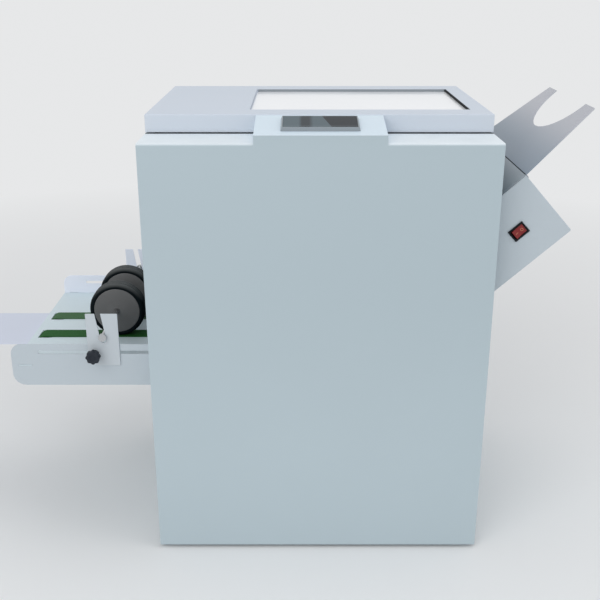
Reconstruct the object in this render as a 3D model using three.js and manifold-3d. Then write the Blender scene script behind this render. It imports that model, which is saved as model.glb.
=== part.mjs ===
// Booklet maker: a sheet metal cabinet with an inclined feed, stapling heads, a fold knife
// between two rollers, and a belt delivery with press wheels. Millimetres, +Z up.
// The machine is drawn with x = 0 at the cabinet's middle, y = 0 on the front panel's face and
// z = 0 at the panel's lower edge. The last lines move the origin to the middle of the footprint.
import * as THREE from "three";
import { mergeVertices } from "three/addons/utils/BufferGeometryUtils.js";
import Module from "manifold-3d";

const wasm = await Module();
wasm.setup();

// Clearances and shared stock sizes
const seat = 0.3;
const overrun = 3;
const sheet = 1.5;
const plate = 2;
const framePlate = 6;
const arcSteps = 6;
const roundSteps = 24;

// Cabinet
const cabinetWidth = 535;
const cabinetDepth = 447;
const panelHeight = 684;
const shelfDepth = 89;
const shelfEdgeRadius = 4;
const basePlateLift = 2;
const basePlateThickness = 3;
const basePlateRim = 20;
const footDrop = 6;
const footRadius = 15;
const footInset = 38;
const coverFlange = 12;
const ventCount = 7;
const ventLength = 90;
const ventHeight = 4;
const ventPitch = 14;
const ventLowestZ = 470;

// Console and screen
const consoleWidth = 195;
const consoleFrontRise = 12;
const consoleBackRise = 27.8;
const consoleWall = 2.5;
const cableHoleWidth = 80;
const cableHoleDepth = 40;
const screenStart = 17.5;
const screenLength = 55;
const screenWidth = 117;
const screenRise = 5.8;
const screenBevel = 2;
const screenGlassMargin = 1.2;
const screenGlassThickness = 2;
const screenBackDepth = 9;
const screenBackMargin = 9;

// Lid
const lidGap = 1.5;
const lidHeight = 27.5;
const lidWall = 2.5;
const windowLeftMargin = 158;
const windowLeft = windowLeftMargin - cabinetWidth / 2;
const windowRightMargin = 27.5;
const windowRight = cabinetWidth / 2 - windowRightMargin;
const windowFrontMargin = 51;
const windowFront = shelfDepth + windowFrontMargin;
const windowBackMargin = 42.6;
const windowBack = cabinetDepth - windowBackMargin;
const windowLap = 8;
const windowThickness = 3;
const windowCollar = 2;
const windowCollarDrop = 2.4;
const hingeInset = 87.5;
const hingeSpread = cabinetWidth / 2 - hingeInset;
const hingeWidth = 70;
const hingeKnuckle = 30;
const hingeRadius = 4;
const hingePinRadius = 2;
const hingeStandoff = 4.5;
const hingeRise = 7;
const hingeLeafHeight = 42;

// Side plates and frames stand in pairs, mirrored about the plane y = midY
const midY = (cabinetDepth + sheet) / 2;
const sideInset = 47.25;
const sideOuterHalf = cabinetDepth / 2 - sideInset;
const frameLeftGap = 17.5;
const frameLeftX = frameLeftGap - cabinetWidth / 2;
const frameRightGap = 19.5;
const frameRightX = cabinetWidth / 2 - frameRightGap;
const frameHeadroom = 95;
const frameHeadStart = 130;
const frameHeadEnd = 430;

// Inclined feed: u runs up the slope from the bed's upper end, w stands square on the bed
const feedOverhang = 44.5;
const feedTopX = cabinetWidth / 2 + feedOverhang;
const feedTopDrop = 55.4;
const feedTopZ = panelHeight - feedTopDrop;
const bedEndGap = 14.71;
const bedSpanX = feedTopX + cabinetWidth / 2 - bedEndGap;
const bedEndHeight = 120.06074;
const bedSpanZ = feedTopZ - bedEndHeight;
const feedAngle = Math.atan2(bedSpanZ, bedSpanX);
const bedRun = Math.hypot(bedSpanX, bedSpanZ);
const feedBoxHeight = 117;
const feedCornerRadius = 3;
const feedPlateEntry = 36;
const feedBottomRun = 178;
const bedThickness = 1.5;
const bedEdgeGap = 0.75;
const bedWideHalf = sideOuterHalf - bedEdgeGap;
const bedWideRun = 80;
const paperMouth = 14;
const mouthMargin = 2;

// Fork tray
const forkReach = 142.5;
const forkTilt = THREE.MathUtils.degToRad(1.1);
const forkTaper = 44.65;
const forkTipHalf = sideOuterHalf - forkTaper;
const forkProngWidth = 46.1;
const forkNotchHalf = forkTipHalf - forkProngWidth;
const forkNotchDepth = 72;
const forkNotchSteps = 16;
const forkFlangeDrop = 12;
const forkFlangeInset = 16.25;
const forkFlangeHalf = sideOuterHalf - forkFlangeInset;

// Side guides
const guideStart = 95;
const guideLength = 160;
const guideHeight = 22;
const guideInset = 11.25;
const guideHalf = sideOuterHalf - guideInset;
const guideFoot = 15;
const guidePeg = 6;
const guidePegInset = 35;
const guideTravel = 90;
const guideKeeperDepth = 4;

// Power switch and mains inlet
const switchRun = 62;
const switchDrop = 64;
const switchLength = 27.5;
const switchWidth = 20.7;
const switchBezel = 1.8;
const switchBodyDepth = 22;
const switchBodyMargin = 1.5;
const rockerHalfLength = 9.8;
const rockerHalfWidth = 6.9;
const rockerProud = 1.2;
const rockerDip = 1.8;
const rockerPivotDepth = 5;
const rockerKeel = 4;
const rockerTilt = THREE.MathUtils.degToRad(8);
const rockerPlay = 0.4;
const inletX = 170;
const inletZ = 62;
const inletWidth = 27.4;
const inletHeight = 19.4;
const inletFlange = 6;
const inletDepth = 26;
const inletWall = 2.2;
const inletSocketDepth = 16;
const inletPinWidth = 2;
const inletPinHeight = 4;
const inletPinSpread = 7;
const inletPinLength = 12;

// Stapling
const stapleShare = 0.453947;
const stapleLine = bedRun * stapleShare;
const headSpread = 60;
const headLength = 40;
const headWidth = 26;
const headLift = 12;
const headHeight = 48;
const noseLength = 20;
const noseHeight = 14;
const staplerBeamDepth = 24;
const staplerBeamHeight = 32;
const staplerBeamLift = 22;
const driverWidth = 13.4;
const driverThickness = 5.4;
const driverProud = 12;
const driverTuck = 4;
const driverCap = 6;
const driverCapLap = 3;
const clinchDepth = 38;
const clinchLength = 24;
const anvilWidth = 24;
const anvilLength = 14;
const anvilWindow = 3;

// Folding
const foldShare = 0.677632;
const foldLine = bedRun * foldShare;
const rollerRadius = 18;
const rollerSpread = 18.3;
const rollerLift = 28;
const rollerEndGap = 5;
const shaftRadius = 6;
const shaftProud = 1;
const gearTeeth = 18;
const gearAddendum = 1.3;
const gearDedendum = 1.8;
const gearWidth = 8;
const gearStandoff = 2.75;
const gearPlane = sideOuterHalf + gearStandoff;
const mainBeltStandoff = 13.75;
const mainBeltPlane = sideOuterHalf + mainBeltStandoff;
const mainBeltWidth = 10;
const deliveryBeltStandoff = 26.75;
const deliveryBeltPlane = sideOuterHalf + deliveryBeltStandoff;
const deliveryBeltWidth = 8;
const driveBeltThickness = 2;
const mainPulleyRadius = 22;
const deliveryPulleyRadius = 14;
const pulleyStepGap = 1;
const knifeThickness = 1.2;
const knifeInset = 12.75;
const knifeHalf = sideOuterHalf - knifeInset;
const knifeDepth = 88;
const knifeRestDepth = 2;
const knifeGuideInset = 18.25;
const knifeGuideHalf = sideOuterHalf - knifeGuideInset;
const knifeGuideWidth = 16;
const knifeGuideLength = 92;
const knifeGuideDepth = 8;
const rackInset = 42.25;
const rackOffset = sideOuterHalf - rackInset;
const rackWidth = 8;
const rackDepth = 8;
const rackTop = 36;
const rackLength = 64;
const pinionTeeth = 16;
const pinionModule = 1.5;
const pinionWidth = 9;
const pinionDrop = 56;

// Paper stop
const stopShare = 0.855263;
const stopRest = bedRun * stopShare;
const stopTravel = 90;
const stopSpread = 70;
const stopSlotWidth = 8;
const stopFingerLength = 12;
const stopFingerHeight = 25;
const stopShoulder = 3;
const stopShoulderLap = 4;
const stopBarDrop = 5;
const stopBarHeight = 8;
const stopBarOverlap = 12;

// Motor
const motorX = 120;
const motorZ = 110;
const motorRadius = 35;
const motorLength = 105;
const motorFlange = 6;
const motorFlangeHalf = 40;
const motorShaftRadius = 5;
const motorPulleyRadius = 12;

// Delivery
const deliveryLeftX = -500.7;
const deliveryEntryX = -232;
const deliveryShare = 0.380579;
const deliveryBedZ = bedEndHeight + bedSpanZ * deliveryShare;
const deliverySkirt = 36.1;
const deliveryBottomZ = deliveryBedZ - deliverySkirt;
const deliveryRise = 36.2;
const deliveryTopZ = deliveryBedZ + deliveryRise;
const deliveryTopRadius = 17;
const deliveryBottomRadius = 20;
const deliveryBedEndX = -200;
const deliveryMouthRise = 30;
const adjustSlotLeftX = -456.4;
const adjustSlotRightX = -275;
const adjustSlotRise = 22.1;
const adjustSlotZ = deliveryBedZ + adjustSlotRise;
const adjustSlotHeight = 5.5;
const bedTabStartX = -490;
const bedTabLength = 22;
const bedFlangeDrop = 16;
const bedFlangeStartX = -455;
const bedEndFlangeDrop = 14;
const conveyorHalfSpacing = 43.5;
const conveyorWidth = 30;
const conveyorThickness = 1.6;
const conveyorSlotMargin = 2;
const conveyorRollerRadius = 11;
const conveyorJournal = 6;
const idlerX = -481;
const driveX = -165;
const drivePulleyRadius = 10;

// Delivery tray
const trayHalf = 74.25;
const trayDrop = 5.6;
const trayTopZ = deliveryBedZ - trayDrop;
const trayReach = 182.873;
const trayCornerRadius = 8;
const trayHingeRadius = 3;
const trayHingePinRadius = 1.5;
const trayHingeStandoff = 3.8;
const trayHingeLug = 10;

// Press wheels and their brackets
const bracketThickness = 1.8;
const bracketLeftX = -374;
const bracketRightX = -322.6;
const bracketRise = 89.7;
const bracketTopZ = deliveryBedZ + bracketRise;
const bracketDip = 0.1;
const bracketBottomZ = deliveryBedZ - bracketDip;
const bracketRadius = 17;
const axleSlotWidth = 9.4;
const axleSlotTopX = -354.4;
const axleSlotEndRise = 44.1;
const axleSlotEndZ = deliveryBedZ + axleSlotEndRise;
const axleSlotAngle = THREE.MathUtils.degToRad(8.75);
const guideKeyStartX = -352;
const guideKeyLength = 22;
const guideKeyHeight = 4.9;
const knobX = -362.3;
const knobRadius = 11.8;
const knobLobeDepth = 1.6;
const knobLobes = 8;
const knobThickness = 11;
const knobHubRadius = 6.5;
const knobHubLength = 11;
const studRadius = 2.4;
const studNutRadius = 5;
const studNutThickness = 3;
const axleRadius = 4;
const axleEnd = 4;
const axleCollarRadius = 6.5;
const wheelRadius = 47.7;
const wheelFaceRadius = 39.5;
const wheelWidth = 34;
const wheelTread = 20;
const wheelHubRadius = 10;
const wheelDishRadius = 34;
const wheelDish = 2;
const wheelSteps = 36;

// Heights and planes that several pieces share
const halfWidth = cabinetWidth / 2;
const sideInnerHalf = sideOuterHalf - plate;
const frameOuterHalf = sideInnerHalf - seat;
const frameInnerHalf = frameOuterHalf - framePlate;
const lidBottom = panelHeight + lidGap;
const lidTop = lidBottom + lidHeight;
const lidFront = shelfDepth + seat;
const baseTop = basePlateLift + basePlateThickness;
const consoleTilt = Math.atan2(consoleBackRise - consoleFrontRise, shelfDepth);
const hingeY = cabinetDepth + hingeStandoff;
const hingeZ = panelHeight + hingeRise;
const conveyorRollerZ = deliveryBedZ - conveyorRollerRadius;
const conveyorTopZ = deliveryBedZ + seat + conveyorThickness;
const axleZ = conveyorTopZ + seat + wheelRadius;
const axleX = axleSlotTopX + (bracketTopZ - axleZ) * Math.tan(axleSlotAngle);
const bracketInnerHalf = sideOuterHalf + seat;
const bracketOuterHalf = bracketInnerHalf + bracketThickness;
const gearPitchRadius = rollerSpread;
const pinionRadius = (pinionTeeth * pinionModule) / 2;
const trayHingeX = deliveryLeftX - trayHingeStandoff;
const trayHingeZ = trayTopZ - trayHingeRadius;

// Solids and cuts
function solidOf(geometry) {
  const bare = geometry.index ? geometry.toNonIndexed() : geometry.clone();
  bare.deleteAttribute("normal");
  bare.deleteAttribute("uv");
  const merged = mergeVertices(bare);
  const vertProperties = merged.attributes.position.array;
  const triVerts = new Uint32Array(merged.index.array);
  return new wasm.Manifold(new wasm.Mesh({ numProp: 3, vertProperties, triVerts }));
}

function geometryOf(solid) {
  const mesh = solid.getMesh();
  const indexed = new THREE.BufferGeometry();
  indexed.setAttribute("position", new THREE.BufferAttribute(mesh.vertProperties, 3));
  indexed.setIndex(new THREE.BufferAttribute(mesh.triVerts, 1));
  const flat = indexed.toNonIndexed();
  flat.computeVertexNormals();
  return flat;
}

function fuse(...geometries) {
  return geometryOf(geometries.map(solidOf).reduce((whole, part) => whole.add(part)));
}

function carve(body, ...tools) {
  return geometryOf(tools.map(solidOf).reduce((rest, tool) => rest.subtract(tool), solidOf(body)));
}

// Corners are [a, b] or [a, b, radius]; a corner with a radius is rounded by an arc
function outlinePoints(corners) {
  const points = [];
  corners.forEach(([a, b, radius = 0], index) => {
    const here = new THREE.Vector2(a, b);
    if (radius === 0) {
      points.push(here);
      return;
    }
    const before = corners[(index + corners.length - 1) % corners.length];
    const after = corners[(index + 1) % corners.length];
    const toBefore = new THREE.Vector2(before[0], before[1]).sub(here).normalize();
    const toAfter = new THREE.Vector2(after[0], after[1]).sub(here).normalize();
    const halfAngle = Math.acos(toBefore.dot(toAfter)) / 2;
    const start = here.clone().addScaledVector(toBefore, radius / Math.tan(halfAngle));
    const end = here.clone().addScaledVector(toAfter, radius / Math.tan(halfAngle));
    const bisector = toBefore.clone().add(toAfter).normalize();
    const centre = here.clone().addScaledVector(bisector, radius / Math.sin(halfAngle));
    const startAngle = start.clone().sub(centre).angle();
    const endAngle = end.clone().sub(centre).angle();
    const turn = Math.atan2(Math.sin(endAngle - startAngle), Math.cos(endAngle - startAngle));
    for (let step = 0; step <= arcSteps; step += 1) {
      const angle = startAngle + (turn * step) / arcSteps;
      points.push(new THREE.Vector2(Math.cos(angle), Math.sin(angle)).multiplyScalar(radius).add(centre));
    }
  });
  return points;
}

function circlePoints(a, b, radius, steps = roundSteps) {
  return Array.from({ length: steps }, (_, step) => {
    const angle = (2 * Math.PI * step) / steps;
    return new THREE.Vector2(a + radius * Math.cos(angle), b + radius * Math.sin(angle));
  });
}

function shapeWith(points, holes = []) {
  const shape = new THREE.Shape(points);
  shape.holes = holes.map((hole) => new THREE.Path(hole));
  return shape;
}

function extrude(shape, from, to) {
  const depth = Math.abs(to - from);
  return new THREE.ExtrudeGeometry(shape, { depth, bevelEnabled: false });
}

const axisX = new THREE.Vector3(1, 0, 0);
const axisY = new THREE.Vector3(0, 1, 0);
const axisZ = new THREE.Vector3(0, 0, 1);

// A shape drawn in x and z, running along y
function alongY(shape, from, to) {
  const turn = new THREE.Matrix4().makeBasis(axisX, axisZ, axisY.clone().negate());
  return extrude(shape, from, to).applyMatrix4(turn).translate(0, Math.max(from, to), 0);
}

// A shape drawn in y and z, running along x
function alongX(shape, from, to) {
  const turn = new THREE.Matrix4().makeBasis(axisY, axisZ, axisX);
  return extrude(shape, from, to).applyMatrix4(turn).translate(Math.min(from, to), 0, 0);
}

// A shape drawn in x and y, running along z
function alongZ(shape, from, to) {
  return extrude(shape, from, to).translate(0, 0, Math.min(from, to));
}

function block(x0, x1, y0, y1, z0, z1) {
  const box = new THREE.BoxGeometry(Math.abs(x1 - x0), Math.abs(y1 - y0), Math.abs(z1 - z0));
  return box.translate((x0 + x1) / 2, (y0 + y1) / 2, (z0 + z1) / 2);
}

function rodY(radius, x, z, from, to, steps = roundSteps) {
  const rod = new THREE.CylinderGeometry(radius, radius, Math.abs(to - from), steps);
  return rod.translate(x, (from + to) / 2, z);
}

function rodX(radius, y, z, from, to, steps = roundSteps) {
  const rod = new THREE.CylinderGeometry(radius, radius, Math.abs(to - from), steps);
  return rod.rotateZ(Math.PI / 2).translate((from + to) / 2, y, z);
}

// A toothed outline: teeth are trapezoids that leave running room in the mesh
function gearPoints(teeth, pitchRadius, addendum, dedendum, phase) {
  const rootShare = 0.3;
  const tipShare = 0.13;
  const points = [];
  for (let tooth = 0; tooth < teeth; tooth += 1) {
    const middle = phase + (2 * Math.PI * tooth) / teeth;
    const pitch = (2 * Math.PI) / teeth;
    const corners = [
      [pitchRadius - dedendum, -rootShare],
      [pitchRadius + addendum, -tipShare],
      [pitchRadius + addendum, tipShare],
      [pitchRadius - dedendum, rootShare],
    ];
    corners.forEach(([radius, share]) => {
      const angle = middle + share * pitch;
      points.push(new THREE.Vector2(radius * Math.cos(angle), radius * Math.sin(angle)));
    });
  }
  return points;
}

// The outline of a belt round two pulleys, first.a and first.b being the pulley's centre
function loopPoints(first, second, grow) {
  const dx = second.a - first.a;
  const dz = second.b - first.b;
  const heading = Math.atan2(dz, dx);
  const lean = Math.acos((first.radius - second.radius) / Math.hypot(dx, dz));
  const points = [];
  const sweep = (pulley, from, to) => {
    for (let step = 0; step <= 2 * arcSteps; step += 1) {
      const angle = from + ((to - from) * step) / (2 * arcSteps);
      const reach = pulley.radius + grow;
      points.push(new THREE.Vector2(pulley.a + reach * Math.cos(angle), pulley.b + reach * Math.sin(angle)));
    }
  };
  sweep(second, heading - lean, heading + lean);
  sweep(first, heading + lean, heading + 2 * Math.PI - lean);
  return points;
}

function beltLoop(first, second, thickness, from, to) {
  const outside = loopPoints(first, second, seat + thickness);
  const inside = loopPoints(first, second, seat);
  return alongY(shapeWith(outside, [inside]), from, to);
}

// Places on the slope, in the machine's own x and z
function onFeed(u, w) {
  return {
    x: feedTopX + u * Math.cos(feedAngle) - w * Math.sin(feedAngle),
    z: feedTopZ + u * Math.sin(feedAngle) + w * Math.cos(feedAngle),
  };
}

function feedRunAt(x, w) {
  return (x - feedTopX + w * Math.sin(feedAngle)) / Math.cos(feedAngle);
}

function onSlope(geometry) {
  return geometry.rotateY(-feedAngle).translate(feedTopX, 0, feedTopZ);
}

// Materials
function finish(color, roughness, metalness) {
  return new THREE.MeshStandardMaterial({ color, roughness, metalness });
}

const cabinetPaint = finish(0xb3c2c8, 0.55, 0);
const lidPaint = finish(0xcbd4e2, 0.5, 0);
const innerPaint = finish(0xb6bfc8, 0.5, 0.1);
const whiteAcrylic = finish(0xeef0f6, 0.3, 0);
const screenGrey = finish(0x8b949b, 0.5, 0);
const screenDark = finish(0x4e5760, 0.1, 0);
const bareSteel = finish(0xa8adb2, 0.35, 0.9);
const darkSteel = finish(0x5d6266, 0.45, 0.8);
const rollerRubber = finish(0x3a3c3e, 0.8, 0);
const footRubber = finish(0x1c1c1d, 0.9, 0);
const blackPlastic = finish(0x22262a, 0.5, 0);
const redPlastic = finish(0x8c2f2a, 0.4, 0);
const beltGreen = finish(0x37603f, 0.7, 0);
const wheelFoam = finish(0x3a3d40, 0.85, 0);
const gearNylon = finish(0xd9d6c8, 0.6, 0);
const motorCase = finish(0x4a4e53, 0.5, 0.5);

const machine = new THREE.Group();
const feed = new THREE.Group();
feed.position.set(feedTopX, 0, feedTopZ);
feed.rotation.y = -feedAngle;
machine.add(feed);

function piece(name, geometry, material, parent = machine) {
  const mesh = new THREE.Mesh(geometry, material);
  mesh.name = name;
  parent.add(mesh);
  return mesh;
}

const sides = [
  { name: "front", sign: -1 },
  { name: "rear", sign: 1 },
];

// Base plate and feet
function buildBase() {
  const edge = halfWidth - sheet - seat;
  const front = sheet + seat;
  const back = cabinetDepth - sheet - seat;
  const rimTop = basePlateLift + basePlateRim;
  const wall = basePlateThickness;
  const body = block(-edge, edge, front, back, basePlateLift, rimTop);
  const hollow = block(wall - edge, edge - wall, front + wall, back - wall, baseTop, rimTop + overrun);
  piece("base_plate", carve(body, hollow), cabinetPaint);
  const feet = [
    ["foot_front_left", -1, footInset],
    ["foot_front_right", 1, footInset],
    ["foot_rear_left", -1, cabinetDepth - footInset],
    ["foot_rear_right", 1, cabinetDepth - footInset],
  ];
  const height = footDrop + basePlateLift - seat;
  feet.forEach(([name, sign, y]) => {
    const foot = new THREE.CylinderGeometry(footRadius, footRadius - sheet, height, roundSteps);
    const mesh = piece(name, foot.rotateX(Math.PI / 2), footRubber);
    mesh.position.set(sign * (halfWidth - footInset), y, height / 2 - footDrop);
  });
}

// Outer covers
function buildFrontCover() {
  const back = shelfDepth - seat;
  const profile = outlinePoints([
    [0, 0],
    [sheet, 0],
    [sheet, panelHeight - sheet],
    [back, panelHeight - sheet],
    [back, panelHeight],
    [0, panelHeight, shelfEdgeRadius],
  ]);
  const bend = alongX(shapeWith(profile), -halfWidth, halfWidth);
  const tabBottom = panelHeight - shelfEdgeRadius - sheet;
  const tabHalf = consoleWidth / 2;
  const tab = block(-tabHalf, tabHalf, 0, sheet, tabBottom, panelHeight + consoleFrontRise);
  const holeFront = (shelfDepth - cableHoleDepth) / 2;
  const hole = block(
    -cableHoleWidth / 2,
    cableHoleWidth / 2,
    holeFront,
    holeFront + cableHoleDepth,
    panelHeight - sheet - overrun,
    panelHeight + overrun,
  );
  piece("front_cover", carve(fuse(bend, tab), hole), cabinetPaint);
}

function sideCoverOutline() {
  const front = sheet + seat;
  const back = cabinetDepth - sheet - seat;
  return shapeWith(
    outlinePoints([
      [front, 0],
      [back, 0],
      [back, panelHeight],
      [shelfDepth, panelHeight],
      [shelfDepth, panelHeight - sheet - seat],
      [front, panelHeight - sheet - seat],
    ]),
  );
}

function buildSideCover(name, sign, mouthBottom, mouthTop) {
  const outer = sign * halfWidth;
  const inner = sign * (halfWidth - sheet);
  const flangeFront = shelfDepth + seat;
  const flangeBack = cabinetDepth - sheet - seat;
  const wall = alongX(sideCoverOutline(), inner, outer);
  const flangeInner = sign * (halfWidth - sheet - coverFlange);
  const flange = block(flangeInner, outer, flangeFront, flangeBack, panelHeight - sheet, panelHeight);
  const mouthHalf = sideOuterHalf + mouthMargin;
  const mouth = block(
    inner - sign * overrun,
    outer + sign * overrun,
    midY - mouthHalf,
    midY + mouthHalf,
    mouthBottom,
    mouthTop,
  );
  piece(name, carve(fuse(wall, flange), mouth), cabinetPaint);
}

function buildRearCover() {
  const inner = cabinetDepth - sheet;
  const wall = block(-halfWidth, halfWidth, inner, cabinetDepth, 0, panelHeight);
  const flangeHalf = halfWidth - sheet - coverFlange - seat;
  const flange = block(
    -flangeHalf,
    flangeHalf,
    inner - coverFlange,
    cabinetDepth,
    panelHeight - sheet,
    panelHeight,
  );
  const cuts = [
    block(
      inletX - inletWidth / 2 - seat,
      inletX + inletWidth / 2 + seat,
      inner - overrun,
      cabinetDepth + overrun,
      inletZ - inletHeight / 2 - seat,
      inletZ + inletHeight / 2 + seat,
    ),
  ];
  for (let row = 0; row < ventCount; row += 1) {
    const z = ventLowestZ + row * ventPitch;
    cuts.push(block(
      -ventLength / 2,
      ventLength / 2,
      inner - overrun,
      cabinetDepth + overrun,
      z,
      z + ventHeight,
    ));
  }
  piece("rear_cover", carve(fuse(wall, flange), ...cuts), cabinetPaint);
}

// Console with its screen
function buildConsole() {
  const half = consoleWidth / 2;
  const bottom = panelHeight + seat;
  const front = sheet + seat;
  const slope = (consoleBackRise - consoleFrontRise) / shelfDepth;
  const topAt = (y) => panelHeight + consoleFrontRise + slope * y;
  const wedge = (inset, floor) =>
    shapeWith(
      outlinePoints([
        [front + inset, floor],
        [shelfDepth - inset, floor],
        [shelfDepth - inset, topAt(shelfDepth - inset) - inset],
        [front + inset, topAt(front + inset) - inset],
      ]),
    );
  const body = alongX(wedge(0, bottom), -half, half);
  const hollow = alongX(wedge(consoleWall, bottom - overrun), consoleWall - half, half - consoleWall);
  const screenHalf = screenWidth / 2;
  const backHalf = screenHalf - screenBackMargin;
  const backStart = screenStart + screenBackMargin;
  const backEnd = screenStart + screenLength - screenBackMargin;
  const hole = block(
    -backHalf - seat,
    backHalf + seat,
    backStart - seat,
    backEnd + seat,
    -screenBackDepth,
    overrun,
  );
  hole.rotateX(consoleTilt).translate(0, 0, panelHeight + consoleFrontRise);
  piece("console_housing", carve(body, hollow, hole), cabinetPaint);

  const top = new THREE.Group();
  top.position.set(0, 0, panelHeight + consoleFrontRise);
  top.rotation.x = consoleTilt;
  machine.add(top);
  const end = screenStart + screenLength;
  const bezel = block(-screenHalf, screenHalf, screenStart, end, seat, screenRise);
  const corner = bezel.getAttribute("position");
  const middle = screenStart + screenLength / 2;
  for (let index = 0; index < corner.count; index += 1) {
    if (corner.getZ(index) > screenRise / 2) {
      corner.setX(index, corner.getX(index) - Math.sign(corner.getX(index)) * screenBevel);
      corner.setY(index, corner.getY(index) - Math.sign(corner.getY(index) - middle) * screenBevel);
    }
  }
  const rim = screenBevel + screenGlassMargin;
  const glassBottom = screenRise - screenGlassThickness;
  const pocket = block(
    rim - screenHalf,
    screenHalf - rim,
    screenStart + rim,
    end - rim,
    glassBottom - seat,
    screenRise + overrun,
  );
  const back = block(-backHalf, backHalf, backStart, backEnd, -screenBackDepth, screenRise / 2);
  piece("screen_frame", carve(fuse(bezel, back), pocket), screenGrey, top);
  const inset = rim + seat;
  const glass = block(
    inset - screenHalf,
    screenHalf - inset,
    screenStart + inset,
    end - inset,
    glassBottom,
    screenRise,
  );
  piece("screen_glass", glass, screenDark, top);
}

// Lid, its window and its hinges
function buildLid() {
  const knuckleHalf = hingeKnuckle / 2;
  const shell = block(-halfWidth, halfWidth, lidFront, cabinetDepth, lidBottom, lidTop);
  const hollow = block(
    lidWall - halfWidth,
    halfWidth - lidWall,
    lidFront + lidWall,
    cabinetDepth - lidWall,
    lidBottom - overrun,
    lidTop - lidWall,
  );
  const opening = block(windowLeft, windowRight, windowFront, windowBack, lidBottom, lidTop + overrun);
  const collar = block(
    windowLeft - windowCollar,
    windowRight + windowCollar,
    windowFront - windowCollar,
    windowBack + windowCollar,
    lidTop - lidWall - windowCollarDrop,
    lidTop - lidWall,
  );
  let body = carve(fuse(carve(shell, hollow), collar), opening);
  [-1, 1].forEach((sign) => {
    const x = sign * hingeSpread;
    const web = block(
      x - knuckleHalf,
      x + knuckleHalf,
      cabinetDepth - lidWall,
      hingeY,
      hingeZ - hingeRadius + seat,
      hingeZ + hingeRadius - seat,
    );
    const barrel = rodX(hingeRadius, hingeY, hingeZ, x - knuckleHalf, x + knuckleHalf);
    const bore = rodX(hingePinRadius + seat, hingeY, hingeZ, x - hingeKnuckle, x + hingeKnuckle);
    body = carve(fuse(body, web, barrel), bore);
  });
  piece("lid", body, lidPaint);
  const paneTop = lidTop - lidWall - windowCollarDrop - seat;
  const pane = block(
    windowLeft - windowLap,
    windowRight + windowLap,
    windowFront - windowLap,
    windowBack + windowLap,
    paneTop - windowThickness,
    paneTop,
  );
  piece("lid_window", pane, whiteAcrylic);
  const hinges = [
    ["lid_hinge_left", -1],
    ["lid_hinge_right", 1],
  ];
  hinges.forEach(([name, sign]) => {
    const x = sign * hingeSpread;
    const half = hingeWidth / 2;
    const leafFront = cabinetDepth + seat;
    const leafBottom = panelHeight - hingeLeafHeight;
    const parts = [block(x - half, x + half, leafFront, leafFront + plate, leafBottom, panelHeight - seat)];
    [-1, 1].forEach((end) => {
      const near = x + end * (knuckleHalf + seat);
      const far = x + end * half;
      parts.push(block(near, far, leafFront, hingeY, panelHeight - plate, hingeZ));
      parts.push(rodX(hingeRadius, hingeY, hingeZ, near, far));
    });
    parts.push(rodX(hingePinRadius, hingeY, hingeZ, x - half, x + half));
    piece(name, fuse(...parts), bareSteel);
  });
}

// The two inner frames, with the knife's guide blocks and the shafts' holes
function buildFrames() {
  const headStart = onFeed(-frameHeadStart, frameHeadroom);
  const headEnd = onFeed(-frameHeadEnd, frameHeadroom);
  const outline = outlinePoints([
    [frameLeftX, baseTop + seat],
    [frameRightX, baseTop + seat],
    [frameRightX, headStart.z],
    [headStart.x, headStart.z],
    [headEnd.x, headEnd.z],
    [frameLeftX, headEnd.z],
  ]);
  const upper = onFeed(rollerSpread - foldLine, rollerLift);
  const lower = onFeed(-rollerSpread - foldLine, rollerLift);
  const pinion = onFeed(pinionUpslope(), -pinionDrop);
  const bore = shaftRadius + seat;
  const holes = [
    circlePoints(upper.x, upper.z, bore),
    circlePoints(lower.x, lower.z, bore),
    circlePoints(pinion.x, pinion.z, bore),
    circlePoints(driveX, conveyorRollerZ, bore),
  ];
  sides.forEach(({ name, sign }) => {
    const cuts = sign > 0 ? [...holes, circlePoints(motorX, motorZ, motorShaftRadius + seat)] : holes;
    const outer = midY + sign * frameOuterHalf;
    const inner = midY + sign * frameInnerHalf;
    const wall = alongY(shapeWith(outline, cuts), inner, outer);
    const guideInner = midY + sign * knifeGuideHalf;
    const guideHalfWidth = knifeGuideWidth / 2;
    const guide = onSlope(
      block(
        -foldLine - guideHalfWidth,
        guideHalfWidth - foldLine,
        guideInner,
        outer,
        -knifeGuideDepth - knifeGuideLength,
        -knifeGuideDepth,
      ),
    );
    const grooveHalf = knifeThickness / 2 + seat;
    const groove = onSlope(
      block(
        -foldLine - grooveHalf,
        grooveHalf - foldLine,
        guideInner - sign * overrun,
        midY + sign * (knifeHalf + seat),
        -knifeGuideDepth - knifeGuideLength - overrun,
        overrun - knifeGuideDepth,
      ),
    );
    piece(`frame_${name}`, carve(fuse(wall, guide), groove), bareSteel);
  });
}

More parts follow.
